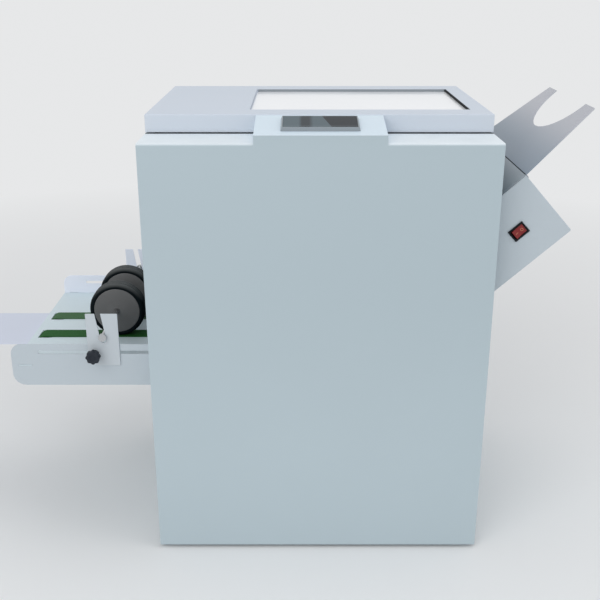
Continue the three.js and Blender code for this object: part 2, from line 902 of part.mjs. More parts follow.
// Infeed box outside the cabinet
function buildInfeed() {
  const top = -bedThickness - seat;
  const bottom = -feedBoxHeight;
  const innerX = halfWidth - feedPlateEntry;
  const outline = outlinePoints([
    [0, top],
    [feedRunAt(innerX, top), top],
    [feedRunAt(innerX, bottom), bottom],
    [0, bottom, feedCornerRadius],
  ]);
  const cutLength = switchLength / 2 - switchBodyMargin + seat;
  const cutWidth = switchWidth / 2 - switchBodyMargin + seat;
  sides.forEach(({ name, sign }) => {
    const outer = midY + sign * sideOuterHalf;
    const inner = midY + sign * sideInnerHalf;
    const wall = alongY(shapeWith(outline), inner, outer);
    const cutOut = block(
      -switchRun - cutLength,
      cutLength - switchRun,
      inner - overrun,
      outer + overrun,
      -switchDrop - cutWidth,
      cutWidth - switchDrop,
    );
    piece(`infeed_side_${name}`, sign < 0 ? carve(wall, cutOut) : wall, innerPaint, feed);
  });
  const coverHalf = sideInnerHalf - seat;
  const bend = outlinePoints([
    [0, top],
    [-sheet, top],
    [-sheet, bottom + sheet],
    [-feedBottomRun, bottom + sheet],
    [-feedBottomRun, bottom],
    [0, bottom, feedCornerRadius],
  ]);
  piece("infeed_cover", alongY(shapeWith(bend), midY - coverHalf, midY + coverHalf), innerPaint, feed);
}

// Bed of the feed, with the slots that guides, anvils, knife and stop work through
function buildFeedBed() {
  const narrow = frameInnerHalf - seat;
  const outline = outlinePoints([
    [0, midY - bedWideHalf],
    [0, midY + bedWideHalf],
    [-bedWideRun, midY + bedWideHalf],
    [-bedWideRun, midY + narrow],
    [-bedRun, midY + narrow],
    [-bedRun, midY - narrow],
    [-bedWideRun, midY - narrow],
    [-bedWideRun, midY - bedWideHalf],
  ]);
  const slot = (u0, u1, y0, y1) => block(u0, u1, y0, y1, -bedThickness - overrun, overrun);
  const cuts = [];
  const pegRuns = [-guideStart - guidePegInset, -guideStart - guideLength + guidePegInset];
  const pegHalf = guidePeg / 2 + seat;
  const pegOuter = guideHalf - guideFoot / 2 + pegHalf;
  sides.forEach(({ sign }) => {
    pegRuns.forEach((u) => {
      const inner = pegOuter - guideTravel - 2 * pegHalf;
      cuts.push(slot(u - pegHalf, u + pegHalf, midY + sign * pegOuter, midY + sign * inner));
    });
    const anvilY = midY + sign * headSpread;
    const windowHalfU = anvilLength / 2 + anvilWindow;
    const windowHalfY = anvilWidth / 2 + anvilWindow;
    cuts.push(
      slot(-stapleLine - windowHalfU, windowHalfU - stapleLine, anvilY - windowHalfY, anvilY + windowHalfY),
    );
    const stopY = midY + sign * stopSpread;
    const stopHalfU = stopTravel + stopFingerLength / 2 + seat;
    cuts.push(
      slot(-stopRest - stopHalfU, stopHalfU - stopRest, stopY - stopSlotWidth / 2, stopY + stopSlotWidth / 2),
    );
  });
  const knifeHalfU = knifeThickness + seat;
  const knifeHalfY = knifeHalf + seat;
  cuts.push(slot(-foldLine - knifeHalfU, knifeHalfU - foldLine, midY - knifeHalfY, midY + knifeHalfY));
  piece("feed_bed", carve(alongZ(shapeWith(outline), -bedThickness, 0), ...cuts), innerPaint, feed);
}

function buildForkTray() {
  const start = seat;
  const corners = [
    [start, midY - bedWideHalf],
    [forkReach, midY - forkTipHalf, feedCornerRadius],
    [forkReach, midY - forkNotchHalf],
  ];
  for (let step = 1; step < forkNotchSteps; step += 1) {
    const angle = (Math.PI * step) / forkNotchSteps;
    const u = forkReach - forkNotchDepth * Math.sin(angle);
    corners.push([u, midY - forkNotchHalf * Math.cos(angle)]);
  }
  corners.push([forkReach, midY + forkNotchHalf]);
  corners.push([forkReach, midY + forkTipHalf, feedCornerRadius]);
  corners.push([start, midY + bedWideHalf]);
  const leaf = alongZ(shapeWith(outlinePoints(corners)), -bedThickness, 0);
  leaf.translate(-start, 0, 0).rotateY(forkTilt).translate(start, 0, 0);
  const flange = block(
    start,
    start + sheet,
    midY - forkFlangeHalf,
    midY + forkFlangeHalf,
    -forkFlangeDrop,
    -bedThickness / 2,
  );
  piece("fork_tray", fuse(leaf, flange), innerPaint, feed);
}

function buildSideGuides() {
  const end = -guideStart - guideLength;
  const foot = bedThickness;
  sides.forEach(({ name, sign }) => {
    const y = (half) => midY + sign * half;
    const pegY = guideHalf - guideFoot / 2;
    const pegHalf = guidePeg / 2;
    const keeperTop = -bedThickness - seat;
    const parts = [
      block(end, -guideStart, y(guideHalf), y(guideHalf + sheet), seat, guideHeight),
      block(end, -guideStart, y(guideHalf - guideFoot), y(guideHalf + sheet), seat, seat + foot),
      block(
        end,
        -guideStart,
        y(pegY - guidePeg),
        y(pegY + guidePeg),
        keeperTop - guideKeeperDepth,
        keeperTop,
      ),
    ];
    [-guideStart - guidePegInset, end + guidePegInset].forEach((u) => {
      parts.push(block(
        u - pegHalf,
        u + pegHalf,
        y(pegY - pegHalf),
        y(pegY + pegHalf),
        keeperTop - sheet,
        foot,
      ));
    });
    piece(`side_guide_${name}`, fuse(...parts), innerPaint, feed);
  });
}

// Rocker switch on the infeed box and mains inlet on the rear cover
function buildPower() {
  const face = midY - sideOuterHalf - seat;
  const bezelFace = face - switchBezel;
  const halfL = switchLength / 2;
  const halfW = switchWidth / 2;
  const u = -switchRun;
  const w = -switchDrop;
  const bezel = block(u - halfL, u + halfL, bezelFace, face, w - halfW, w + halfW);
  const bodyL = halfL - switchBodyMargin;
  const bodyW = halfW - switchBodyMargin;
  const body = block(u - bodyL, u + bodyL, bezelFace + seat, face + switchBodyDepth, w - bodyW, w + bodyW);
  const windowL = rockerHalfLength + rockerProud;
  const windowW = rockerHalfWidth + rockerPlay;
  const pocketEnd = bezelFace + rockerPivotDepth + rockerKeel + rockerHalfLength;
  const pocket = block(u - windowL, u + windowL, bezelFace - overrun, pocketEnd, w - windowW, w + windowW);
  piece("power_switch_body", carve(fuse(bezel, body), pocket), blackPlastic, feed);

  const pivotY = bezelFace + rockerPivotDepth;
  const proud = -rockerPivotDepth - rockerProud;
  const outline = outlinePoints([
    [-rockerHalfLength, proud],
    [0, proud + rockerDip],
    [rockerHalfLength, proud],
    [rockerHalfLength, 0],
    [rockerKeel, rockerKeel],
    [-rockerKeel, rockerKeel],
    [-rockerHalfLength, 0],
  ]);
  const rocker = alongZ(shapeWith(outline), -rockerHalfWidth, rockerHalfWidth).rotateZ(rockerTilt);
  piece("power_rocker", rocker, redPlastic, feed).position.set(u, pivotY, w);

  const halfX = inletWidth / 2;
  const halfZ = inletHeight / 2;
  const flangeFront = cabinetDepth + seat;
  const flangeBack = flangeFront + plate;
  const flange = block(
    -halfX - inletFlange,
    halfX + inletFlange,
    flangeFront,
    flangeBack,
    -halfZ - inletFlange / 2,
    halfZ + inletFlange / 2,
  );
  const shell = block(-halfX, halfX, flangeBack - inletDepth, flangeBack, -halfZ, halfZ);
  const floor = flangeBack - inletSocketDepth;
  const socket = block(
    inletWall - halfX,
    halfX - inletWall,
    floor,
    flangeBack + overrun,
    inletWall - halfZ,
    halfZ - inletWall,
  );
  const pins = [-1, 0, 1].map((place) => {
    const x = place * inletPinSpread;
    const z = place === 0 ? inletPinHeight / 2 : 0;
    const halfPin = inletPinWidth / 2;
    const tip = floor + inletPinLength;
    return block(
      x - halfPin,
      x + halfPin,
      floor - sheet,
      tip,
      z - inletPinHeight / 2,
      z + inletPinHeight / 2,
    );
  });
  const inlet = fuse(carve(fuse(flange, shell), socket), ...pins);
  piece("power_inlet", inlet, blackPlastic).position.set(inletX, 0, inletZ);
}

// Stapling heads on their beam, and the clinching beam under the bed
function buildStapler() {
  const beamHalf = frameInnerHalf - seat;
  const headBack = -stapleLine - headLength / 2;
  const headFront = headLength / 2 - stapleLine;
  const headTop = headLift + headHeight;
  const beamFront = headBack - seat;
  const beamBottom = headLift + staplerBeamLift;
  const beam = block(
    beamFront - staplerBeamDepth,
    beamFront,
    midY - beamHalf,
    midY + beamHalf,
    beamBottom,
    beamBottom + staplerBeamHeight,
  );
  piece("stapler_beam", beam, darkSteel, feed);
  const clinchParts = [
    block(
      -stapleLine - clinchLength / 2,
      clinchLength / 2 - stapleLine,
      midY - beamHalf,
      midY + beamHalf,
      -bedThickness - seat - clinchDepth,
      -bedThickness - seat,
    ),
  ];
  sides.forEach(({ name, sign }) => {
    const y = midY + sign * headSpread;
    const halfW = headWidth / 2;
    const body = block(headBack, headFront, y - halfW, y + halfW, headLift + noseHeight, headTop);
    const noseHalf = noseLength / 2;
    const nose = block(
      -stapleLine - noseHalf,
      noseHalf - stapleLine,
      y - halfW + plate,
      y + halfW - plate,
      headLift,
      headTop - plate,
    );
    const boreU = driverThickness / 2 + seat;
    const boreY = driverWidth / 2 + seat;
    const bore = block(
      -stapleLine - boreU,
      boreU - stapleLine,
      y - boreY,
      y + boreY,
      -overrun,
      headTop + overrun,
    );
    piece(`stapler_head_${name}`, carve(fuse(body, nose), bore), darkSteel, feed);
    const driverHalfU = driverThickness / 2;
    const driverHalfY = driverWidth / 2;
    const capBottom = headTop + driverProud;
    const blade = block(
      -driverHalfU,
      driverHalfU,
      -driverHalfY,
      driverHalfY,
      headLift + driverTuck,
      capBottom + sheet,
    );
    const capU = driverHalfU + driverCapLap;
    const capY = driverHalfY + driverCapLap;
    const cap = block(-capU, capU, -capY, capY, capBottom, capBottom + driverCap);
    piece(`staple_driver_${name}`, fuse(blade, cap), bareSteel, feed).position.set(-stapleLine, y, 0);
    const anvilU = anvilLength / 2;
    const anvilY = anvilWidth / 2;
    const anvilBottom = -bedThickness - seat - sheet;
    clinchParts.push(
      block(-stapleLine - anvilU, anvilU - stapleLine, y - anvilY, y + anvilY, anvilBottom, -seat),
    );
  });
  piece("clinch_beam", fuse(...clinchParts), darkSteel, feed);
}

// Fold rollers with their gears; teeth of one gear face the gaps of the other
function buildFoldRollers() {
  const bodyHalf = frameInnerHalf - rollerEndGap;
  const gearEnd = gearPlane + gearWidth;
  const farEnd = deliveryBeltPlane + deliveryBeltWidth;
  const rollers = [
    { name: "upper", sign: 1, phase: 0, end: gearEnd, pulleys: false },
    { name: "lower", sign: -1, phase: Math.PI / gearTeeth, end: farEnd, pulleys: true },
  ];
  rollers.forEach(({ name, sign, phase, end, pulleys }) => {
    const place = (mesh) => mesh.position.set(sign * rollerSpread - foldLine, 0, rollerLift);
    const drum = rodY(rollerRadius, 0, 0, midY - bodyHalf, midY + bodyHalf, wheelSteps);
    const shaft = rodY(shaftRadius, 0, 0, midY - frameOuterHalf - shaftProud, midY + end);
    place(piece(`fold_roller_${name}`, fuse(drum, shaft), rollerRubber, feed));
    const teeth = gearPoints(gearTeeth, gearPitchRadius, gearAddendum, gearDedendum, phase + Math.PI);
    const parts = [alongY(shapeWith(teeth), midY + gearPlane, midY + gearEnd)];
    if (pulleys) {
      const mainEnd = mainBeltPlane + mainBeltWidth + pulleyStepGap;
      parts.push(rodY(mainPulleyRadius, 0, 0, midY + gearEnd + pulleyStepGap, midY + mainEnd, wheelSteps));
      parts.push(rodY(deliveryPulleyRadius, 0, 0, midY + gearPlane + seat, midY + farEnd));
    }
    const bore = rodY(shaftRadius + seat, 0, 0, midY + gearPlane - overrun, midY + farEnd + overrun);
    place(piece(`roller_gear_${name}`, carve(fuse(...parts), bore), gearNylon, feed));
  });
}

function pinionUpslope() {
  return -foldLine + knifeThickness / 2 + rackDepth + seat + pinionRadius;
}

// Fold knife with its racks, and the pinion shaft that lifts it
function buildKnife() {
  const halfT = knifeThickness / 2;
  const top = -knifeRestDepth;
  const pitch = Math.PI * pinionModule;
  const pitchLine = halfT + rackDepth + seat;
  const rackOuter = pitchLine + pinionModule / 2;
  const rackRoot = pitchLine - pinionModule;
  const parts = [block(-halfT, halfT, midY - knifeHalf, midY + knifeHalf, top - knifeDepth, top)];
  const rootShare = 0.3;
  const tipShare = 0.15;
  const rack = [
    [0, -rackTop],
    [0, -rackTop - rackLength],
    [rackRoot, -rackTop - rackLength],
  ];
  const firstTooth = Math.ceil((pinionDrop - rackTop - rackLength) / pitch) + 1;
  const lastTooth = Math.floor((pinionDrop - rackTop) / pitch) - 1;
  for (let tooth = firstTooth; tooth <= lastTooth; tooth += 1) {
    const middle = tooth * pitch - pinionDrop;
    rack.push([rackRoot, middle - rootShare * pitch]);
    rack.push([rackOuter, middle - tipShare * pitch]);
    rack.push([rackOuter, middle + tipShare * pitch]);
    rack.push([rackRoot, middle + rootShare * pitch]);
  }
  rack.push([rackRoot, -rackTop]);
  const shaftParts = [rodY(
    shaftRadius,
    0,
    0,
    midY - frameOuterHalf - shaftProud,
    midY + frameOuterHalf + shaftProud,
  )];
  const phase = Math.PI / pinionTeeth;
  const teeth = gearPoints(pinionTeeth, pinionRadius, pinionModule / 2, pinionModule, phase);
  sides.forEach(({ sign }) => {
    const rackY = midY + sign * rackOffset;
    parts.push(alongY(shapeWith(outlinePoints(rack)), rackY - rackWidth / 2, rackY + rackWidth / 2));
    shaftParts.push(alongY(shapeWith(teeth), rackY - pinionWidth / 2, rackY + pinionWidth / 2));
  });
  piece("fold_knife", fuse(...parts), bareSteel, feed).position.set(-foldLine, 0, 0);
  piece("knife_shaft", fuse(...shaftParts), darkSteel, feed).position.set(pinionUpslope(), 0, -pinionDrop);
}

// Paper stop that slides in the bed's two long slots
function buildPaperStop() {
  const halfU = stopFingerLength / 2;
  const halfY = stopSlotWidth / 2 - seat;
  const barTop = -stopBarDrop;
  const barHalf = stopSpread + stopBarOverlap;
  const parts = [block(-halfU, halfU, midY - barHalf, midY + barHalf, barTop - stopBarHeight, barTop)];
  sides.forEach(({ sign }) => {
    const y = midY + sign * stopSpread;
    const shoulder = halfY + stopShoulderLap;
    parts.push(block(-halfU, halfU, y - halfY, y + halfY, barTop - seat, stopFingerHeight));
    parts.push(block(-halfU, halfU, y - shoulder, y + shoulder, seat, stopShoulder));
  });
  piece("paper_stop", fuse(...parts), bareSteel, feed).position.set(-stopRest, 0, 0);
}

// Motor inside the rear frame, its pulley and the two drive belts outside it
function buildDrive() {
  const motorBack = midY + frameInnerHalf - seat;
  const flangeFront = motorBack - motorFlange;
  const can = rodY(motorRadius, 0, 0, motorBack - motorLength, flangeFront + seat, wheelSteps);
  const flange = block(
    -motorFlangeHalf,
    motorFlangeHalf,
    flangeFront,
    motorBack,
    -motorFlangeHalf,
    motorFlangeHalf,
  );
  const shaftEnd = midY + mainBeltPlane + mainBeltWidth + pulleyStepGap;
  const shaft = rodY(motorShaftRadius, 0, 0, flangeFront, shaftEnd);
  piece("main_motor", fuse(can, flange, shaft), motorCase).position.set(motorX, 0, motorZ);
  const pulleyStart = midY + mainBeltPlane - pulleyStepGap;
  const pulley = rodY(motorPulleyRadius, 0, 0, pulleyStart, shaftEnd);
  const bore = rodY(motorShaftRadius + seat, 0, 0, pulleyStart - overrun, shaftEnd + overrun);
  piece("motor_pulley", carve(pulley, bore), gearNylon).position.set(motorX, 0, motorZ);
  const lower = onFeed(-rollerSpread - foldLine, rollerLift);
  const mainBelt = beltLoop(
    { a: motorX, b: motorZ, radius: motorPulleyRadius },
    { a: lower.x, b: lower.z, radius: mainPulleyRadius },
    driveBeltThickness,
    midY + mainBeltPlane + seat,
    midY + mainBeltPlane + mainBeltWidth,
  );
  piece("main_drive_belt", mainBelt, rollerRubber);
  const deliveryStart = midY + deliveryBeltPlane + seat;
  const deliveryBelt = beltLoop(
    { a: driveX, b: conveyorRollerZ, radius: drivePulleyRadius },
    { a: lower.x, b: lower.z, radius: deliveryPulleyRadius },
    driveBeltThickness,
    deliveryStart,
    midY + deliveryBeltPlane + deliveryBeltWidth - seat,
  );
  piece("delivery_drive_belt", deliveryBelt, rollerRubber);
}

// Delivery side plates with the slot for the wheel brackets
function buildDeliverySides() {
  const outline = outlinePoints([
    [deliveryLeftX, deliveryBottomZ, deliveryBottomRadius],
    [deliveryEntryX, deliveryBottomZ],
    [deliveryEntryX, deliveryTopZ],
    [deliveryLeftX, deliveryTopZ, deliveryTopRadius],
  ]);
  const slotHalf = adjustSlotHeight / 2;
  const slot = outlinePoints([
    [adjustSlotLeftX, adjustSlotZ - slotHalf, slotHalf - seat],
    [adjustSlotRightX, adjustSlotZ - slotHalf, slotHalf - seat],
    [adjustSlotRightX, adjustSlotZ + slotHalf, slotHalf - seat],
    [adjustSlotLeftX, adjustSlotZ + slotHalf, slotHalf - seat],
  ]);
  const tab = outlinePoints([
    [bedTabStartX - seat, deliveryBedZ - sheet - seat],
    [bedTabStartX + bedTabLength + seat, deliveryBedZ - sheet - seat],
    [bedTabStartX + bedTabLength + seat, deliveryBedZ + seat],
    [bedTabStartX - seat, deliveryBedZ + seat],
  ]);
  sides.forEach(({ name, sign }) => {
    const wall = alongY(
      shapeWith(outline, [slot, tab]),
      midY + sign * sideInnerHalf,
      midY + sign * sideOuterHalf,
    );
    piece(`delivery_side_${name}`, wall, innerPaint);
  });
}

function buildDeliveryBed() {
  const wide = sideInnerHalf - seat;
  const narrow = frameInnerHalf - seat;
  const stepX = frameLeftX - plate;
  const tabEnd = bedTabStartX + bedTabLength;
  const corners = [
    [deliveryLeftX, -wide],
    [bedTabStartX, -wide],
    [bedTabStartX, -sideOuterHalf],
    [tabEnd, -sideOuterHalf],
    [tabEnd, -wide],
    [stepX, -wide],
    [stepX, -narrow],
    [deliveryBedEndX, -narrow],
  ];
  const mirrored = corners.map(([x, y]) => [x, -y]).reverse();
  const outline = outlinePoints([...corners, ...mirrored].map(([x, y]) => [x, midY + y]));
  const bottom = deliveryBedZ - sheet;
  const slots = [];
  const parts = [alongZ(shapeWith(outline), bottom, deliveryBedZ)];
  const endBottom = deliveryBedZ - bedEndFlangeDrop;
  parts.push(block(deliveryLeftX, deliveryLeftX + sheet, midY - wide, midY + wide, endBottom, deliveryBedZ));
  sides.forEach(({ sign }) => {
    const y = (half) => midY + sign * half;
    parts.push(block(bedFlangeStartX, stepX, y(wide - sheet), y(wide), bottom - bedFlangeDrop, deliveryBedZ));
    parts.push(rodY(trayHingeRadius, trayHingeX, trayHingeZ, y(trayHalf + seat), y(trayHalf + trayHingeLug)));
    parts.push(
      block(
        trayHingeX,
        deliveryLeftX + sheet,
        y(trayHalf + seat),
        y(trayHalf + trayHingeLug),
        trayHingeZ - trayHingeRadius / 2,
        trayHingeZ + trayHingeRadius / 2,
      ),
    );
    const beltY = conveyorHalfSpacing;
    const slotHalf = conveyorWidth / 2 + conveyorSlotMargin;
    const reach = conveyorRollerRadius + conveyorThickness + conveyorSlotMargin;
    const beltRadius = conveyorTopZ - conveyorRollerZ + seat;
    const nose = Math.sqrt(beltRadius ** 2 - (bottom - conveyorRollerZ) ** 2);
    slots.push(
      block(
        idlerX - nose,
        idlerX + reach,
        y(beltY - slotHalf),
        y(beltY + slotHalf),
        bottom - overrun,
        conveyorTopZ,
      ),
    );
  });
  parts.push(rodY(
    trayHingePinRadius,
    trayHingeX,
    trayHingeZ,
    midY - trayHalf - seat,
    midY + trayHalf + seat,
  ));
  piece("delivery_bed", carve(fuse(...parts), ...slots), innerPaint);
}

function buildDeliveryTray() {
  const bottom = trayTopZ - sheet - trayHingeZ;
  const top = trayTopZ - trayHingeZ;
  const outline = outlinePoints([
    [0, midY - trayHalf],
    [0, midY + trayHalf],
    [-trayReach, midY + trayHalf, trayCornerRadius],
    [-trayReach, midY - trayHalf, trayCornerRadius],
  ]);
  const leaf = alongZ(shapeWith(outline), bottom, top);
  const barrel = rodY(trayHingeRadius, 0, 0, midY - trayHalf, midY + trayHalf);
  const bore = rodY(trayHingePinRadius + seat, 0, 0, midY - trayHalf - overrun, midY + trayHalf + overrun);
  const tray = carve(fuse(leaf, barrel), bore);
  piece("delivery_tray", tray, innerPaint).position.set(trayHingeX, 0, trayHingeZ);
}

// Conveyor belts and the two rollers that carry them
function conveyorRoller(shaftFront, shaftBack, pulley) {
  const parts = [rodY(conveyorJournal, 0, 0, shaftFront, shaftBack)];
  sides.forEach(({ sign }) => {
    const y = midY + sign * conveyorHalfSpacing;
    const half = conveyorWidth / 2 + seat;
    parts.push(rodY(conveyorRollerRadius, 0, 0, y - half, y + half));
  });
  if (pulley) {
    const start = midY + deliveryBeltPlane - pulleyStepGap;
    const end = midY + deliveryBeltPlane + deliveryBeltWidth;
    parts.push(rodY(drivePulleyRadius, 0, 0, start, end));
  }
  return fuse(...parts);
}

function buildConveyor() {
  const idlerHalf = sideInnerHalf - seat;
  const idler = conveyorRoller(midY - idlerHalf, midY + idlerHalf, false);
  piece("idler_roller", idler, darkSteel).position.set(idlerX, 0, conveyorRollerZ);
  const driveEnd = midY + deliveryBeltPlane + deliveryBeltWidth;
  const drive = conveyorRoller(midY - frameOuterHalf - shaftProud, driveEnd, true);
  piece("drive_roller", drive, darkSteel).position.set(driveX, 0, conveyorRollerZ);
  sides.forEach(({ name, sign }) => {
    const y = midY + sign * conveyorHalfSpacing;
    const belt = beltLoop(
      { a: idlerX, b: conveyorRollerZ, radius: conveyorRollerRadius },
      { a: driveX, b: conveyorRollerZ, radius: conveyorRollerRadius },
      conveyorThickness,
      y - conveyorWidth / 2,
      y + conveyorWidth / 2,
    );
    piece(`conveyor_belt_${name}`, belt, beltGreen);
  });
}

// Wheel brackets: a plate with an open slanted slot, and a key that runs in the side plate's slot
function buildBrackets() {
  const halfSlot = axleSlotWidth / 2;
  const atTop = halfSlot / Math.cos(axleSlotAngle);
  const endX = axleSlotTopX + (bracketTopZ - axleSlotEndZ) * Math.tan(axleSlotAngle);
  const corners = [
    [bracketLeftX, bracketBottomZ, bracketRadius],
    [bracketRightX, bracketBottomZ],
    [bracketRightX, bracketTopZ],
    [axleSlotTopX + atTop, bracketTopZ],
  ];
  for (let step = 0; step <= 2 * arcSteps; step += 1) {
    const angle = axleSlotAngle - (Math.PI * step) / (2 * arcSteps);
    corners.push([endX + halfSlot * Math.cos(angle), axleSlotEndZ + halfSlot * Math.sin(angle)]);
  }
  corners.push([axleSlotTopX - atTop, bracketTopZ]);
  corners.push([bracketLeftX, bracketTopZ]);
  const studHole = circlePoints(knobX, adjustSlotZ, studRadius + seat);
  sides.forEach(({ name, sign }) => {
    const y = (half) => midY + sign * half;
    const outline = shapeWith(outlinePoints(corners), [studHole]);
    const wall = alongY(outline, y(bracketInnerHalf), y(bracketOuterHalf));
    const keyHalf = guideKeyHeight / 2;
    const key = block(
      guideKeyStartX,
      guideKeyStartX + guideKeyLength,
      y(sideInnerHalf),
      y(bracketOuterHalf - seat),
      adjustSlotZ - keyHalf,
      adjustSlotZ + keyHalf,
    );
    piece(`press_bracket_${name}`, fuse(wall, key), innerPaint);
    const lobes = Array.from({ length: knobLobes * arcSteps }, (_, step) => {
      const angle = (2 * Math.PI * step) / (knobLobes * arcSteps);
      const radius = knobRadius - (knobLobeDepth * (1 - Math.cos(knobLobes * angle))) / 2;
      return new THREE.Vector2(radius * Math.cos(angle), radius * Math.sin(angle));
    });
    const hubStart = bracketOuterHalf + seat;
    const headStart = hubStart + knobHubLength;
    const nutStart = sideInnerHalf - seat;
    const knob = fuse(
      alongY(shapeWith(lobes), y(headStart), y(headStart + knobThickness)),
      rodY(knobHubRadius, 0, 0, y(hubStart), y(headStart + seat)),
      rodY(studRadius, 0, 0, y(nutStart), y(headStart)),
      rodY(studNutRadius, 0, 0, y(nutStart - studNutThickness), y(nutStart)),
    );
    piece(`clamp_knob_${name}`, knob, blackPlastic).position.set(knobX, 0, adjustSlotZ);
  });
}

// Axle that floats in the bracket slots, and the two press wheels that turn on it
function buildWheels() {
  const collarStart = bracketOuterHalf + seat;
  const collarEnd = collarStart + axleEnd;
  const parts = [rodY(axleRadius, 0, 0, midY - collarEnd, midY + collarEnd)];
  sides.forEach(({ sign }) => {
    parts.push(rodY(axleCollarRadius, 0, 0, midY + sign * collarStart, midY + sign * collarEnd));
  });
  piece("press_axle", fuse(...parts), bareSteel).position.set(axleX, 0, axleZ);
  const bore = axleRadius + seat;
  const half = wheelWidth / 2;
  const dish = half - wheelDish;
  const tread = wheelTread / 2;
  const profile = [
    [bore, -half],
    [wheelHubRadius, -half],
    [wheelHubRadius + wheelDish, -dish],
    [wheelDishRadius, -dish],
    [wheelDishRadius + wheelDish, -half],
    [wheelFaceRadius, -half],
    [wheelRadius, -tread],
    [wheelRadius, tread],
    [wheelFaceRadius, half],
    [wheelDishRadius + wheelDish, half],
    [wheelDishRadius, dish],
    [wheelHubRadius + wheelDish, dish],
    [wheelHubRadius, half],
    [bore, half],
    [bore, -half],
  ].map(([radius, along]) => new THREE.Vector2(radius, along));
  sides.forEach(({ name, sign }) => {
    const wheel = new THREE.LatheGeometry(profile, wheelSteps);
    const mesh = piece(`press_wheel_${name}`, wheel, wheelFoam);
    mesh.position.set(axleX, midY + sign * conveyorHalfSpacing, axleZ);
  });
}

buildBase();
buildFrontCover();
const infeedMouthBottom = onFeed(
  feedRunAt(halfWidth - sheet, -feedBoxHeight),
  -feedBoxHeight,
).z - mouthMargin;
const infeedMouthTop = onFeed(feedRunAt(halfWidth, paperMouth), paperMouth).z;
buildSideCover("right_cover", 1, infeedMouthBottom, infeedMouthTop);
buildSideCover("left_cover", -1, deliveryBottomZ - mouthMargin, deliveryTopZ + deliveryMouthRise);
buildRearCover();
buildConsole();
buildLid();
buildFrames();
buildInfeed();
buildFeedBed();
buildForkTray();
buildSideGuides();
buildPower();
buildStapler();
buildFoldRollers();
buildKnife();
buildPaperStop();
buildDrive();
buildDeliverySides();
buildDeliveryBed();
buildDeliveryTray();
buildConveyor();
buildBrackets();
buildWheels();

// The origin goes to the middle of the footprint, on the surface that the feet stand on
machine.updateMatrixWorld(true);
const reach = new THREE.Box3().setFromObject(machine, true);
const middle = reach.getCenter(new THREE.Vector3());
machine.position.set(-middle.x, -middle.y, -reach.min.z);
const group = new THREE.Group();
group.add(machine);
export default group;
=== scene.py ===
"""Dresses the booklet maker: finishes, detailed outer pieces, studio and camera, all in metres."""

import logging
import math
from collections.abc import Sequence
from dataclasses import dataclass
from enum import Enum
from functools import cache

import bmesh
import bpy
from mathutils import Matrix, Vector


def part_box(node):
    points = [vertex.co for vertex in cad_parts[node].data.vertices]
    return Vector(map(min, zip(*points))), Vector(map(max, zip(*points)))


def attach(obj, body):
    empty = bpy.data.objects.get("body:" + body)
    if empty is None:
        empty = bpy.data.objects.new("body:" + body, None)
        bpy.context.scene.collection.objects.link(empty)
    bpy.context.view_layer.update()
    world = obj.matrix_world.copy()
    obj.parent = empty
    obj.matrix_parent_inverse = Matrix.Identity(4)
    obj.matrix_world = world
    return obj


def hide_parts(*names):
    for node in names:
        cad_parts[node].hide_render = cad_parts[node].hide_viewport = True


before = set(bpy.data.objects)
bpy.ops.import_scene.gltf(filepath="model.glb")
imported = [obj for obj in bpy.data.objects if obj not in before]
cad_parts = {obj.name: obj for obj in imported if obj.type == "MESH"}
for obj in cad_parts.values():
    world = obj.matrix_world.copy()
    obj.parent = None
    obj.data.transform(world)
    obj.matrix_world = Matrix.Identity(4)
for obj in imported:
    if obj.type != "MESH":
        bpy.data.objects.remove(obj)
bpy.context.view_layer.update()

LOG = logging.getLogger("booklet_maker")
MM = 0.001
WELD = 1e-6
NEAR = 0.05 * MM
FLAT_ANGLE = math.radians(0.4)
SHARP_ANGLE = math.radians(36)
WIDTHS = "bevel_weight_edge"
WIDE_STEPS = 4
FEED_TILT = math.radians(42)
FEED_ALONG = Vector((math.cos(FEED_TILT), 0, math.sin(FEED_TILT)))
FEED_UP = Vector((-math.sin(FEED_TILT), 0, math.cos(FEED_TILT)))
Colour = tuple[float, float, float, float]
Point = tuple[float, float, float]
Span = tuple[float, float]
Rows = tuple[tuple[float, ...], ...]
Inputs = dict[str | int, object]
Mesh = bmesh.types.BMesh
Socket = bpy.types.NodeSocket


def shade(red: float, green: float, blue: float) -> Colour:
    """Turn a display colour into a shader colour.

    Args:
        red: Red, 0 to 255.
        green: Green, 0 to 255.
        blue: Blue, 0 to 255.

    Returns:
        The linear colour, with full alpha.
    """
    knee, slope, lift, power = 0.04045, 12.92, 0.055, 2.4
    parts = [part / 255 for part in (red, green, blue)]
    low, mid, high = (p / slope if p <= knee else ((p + lift) / (1 + lift)) ** power for p in parts)
    return (low, mid, high, 1.0)


class Slot(Enum):
    """The record's material slots."""

    CABINET = "cabinet_paint"
    LID = "lid_shell"
    INNER = "inner_paint"
    WINDOW = "window_acrylic"
    GLASS = "screen_glass"
    SCREEN_FRAME = "screen_frame"
    ALUMINIUM = "frame_aluminium"
    STEEL = "bare_steel"
    DARK_STEEL = "dark_steel"
    ROLLER = "roller_rubber"
    FOOT = "foot_rubber"
    PLASTIC = "black_plastic"
    ROCKER = "red_rocker"
    NYLON = "gear_nylon"
    MOTOR = "motor_case"
    BELT = "belt_green"
    TYRE = "wheel_rubber"


class Axis(Enum):
    """Directions that turned pieces stand along."""

    X = Vector((1, 0, 0))
    Y = Vector((0, 1, 0))
    Z = Vector((0, 0, 1))
    FRONT = Vector((0, -1, 0))
    LEFT = Vector((-1, 0, 0))


class Effect(Enum):
    """The node groups that several finishes share."""

    GRAIN = "fine_grain"
    STREAKS = "drawn_streaks"
    WEAR = "edge_wear"
    DUST_AND_TOP_LIGHT = "dust_and_painted_top_light"
    WEAVE = "belt_weave"
    GRADE = "painted_light_grade"


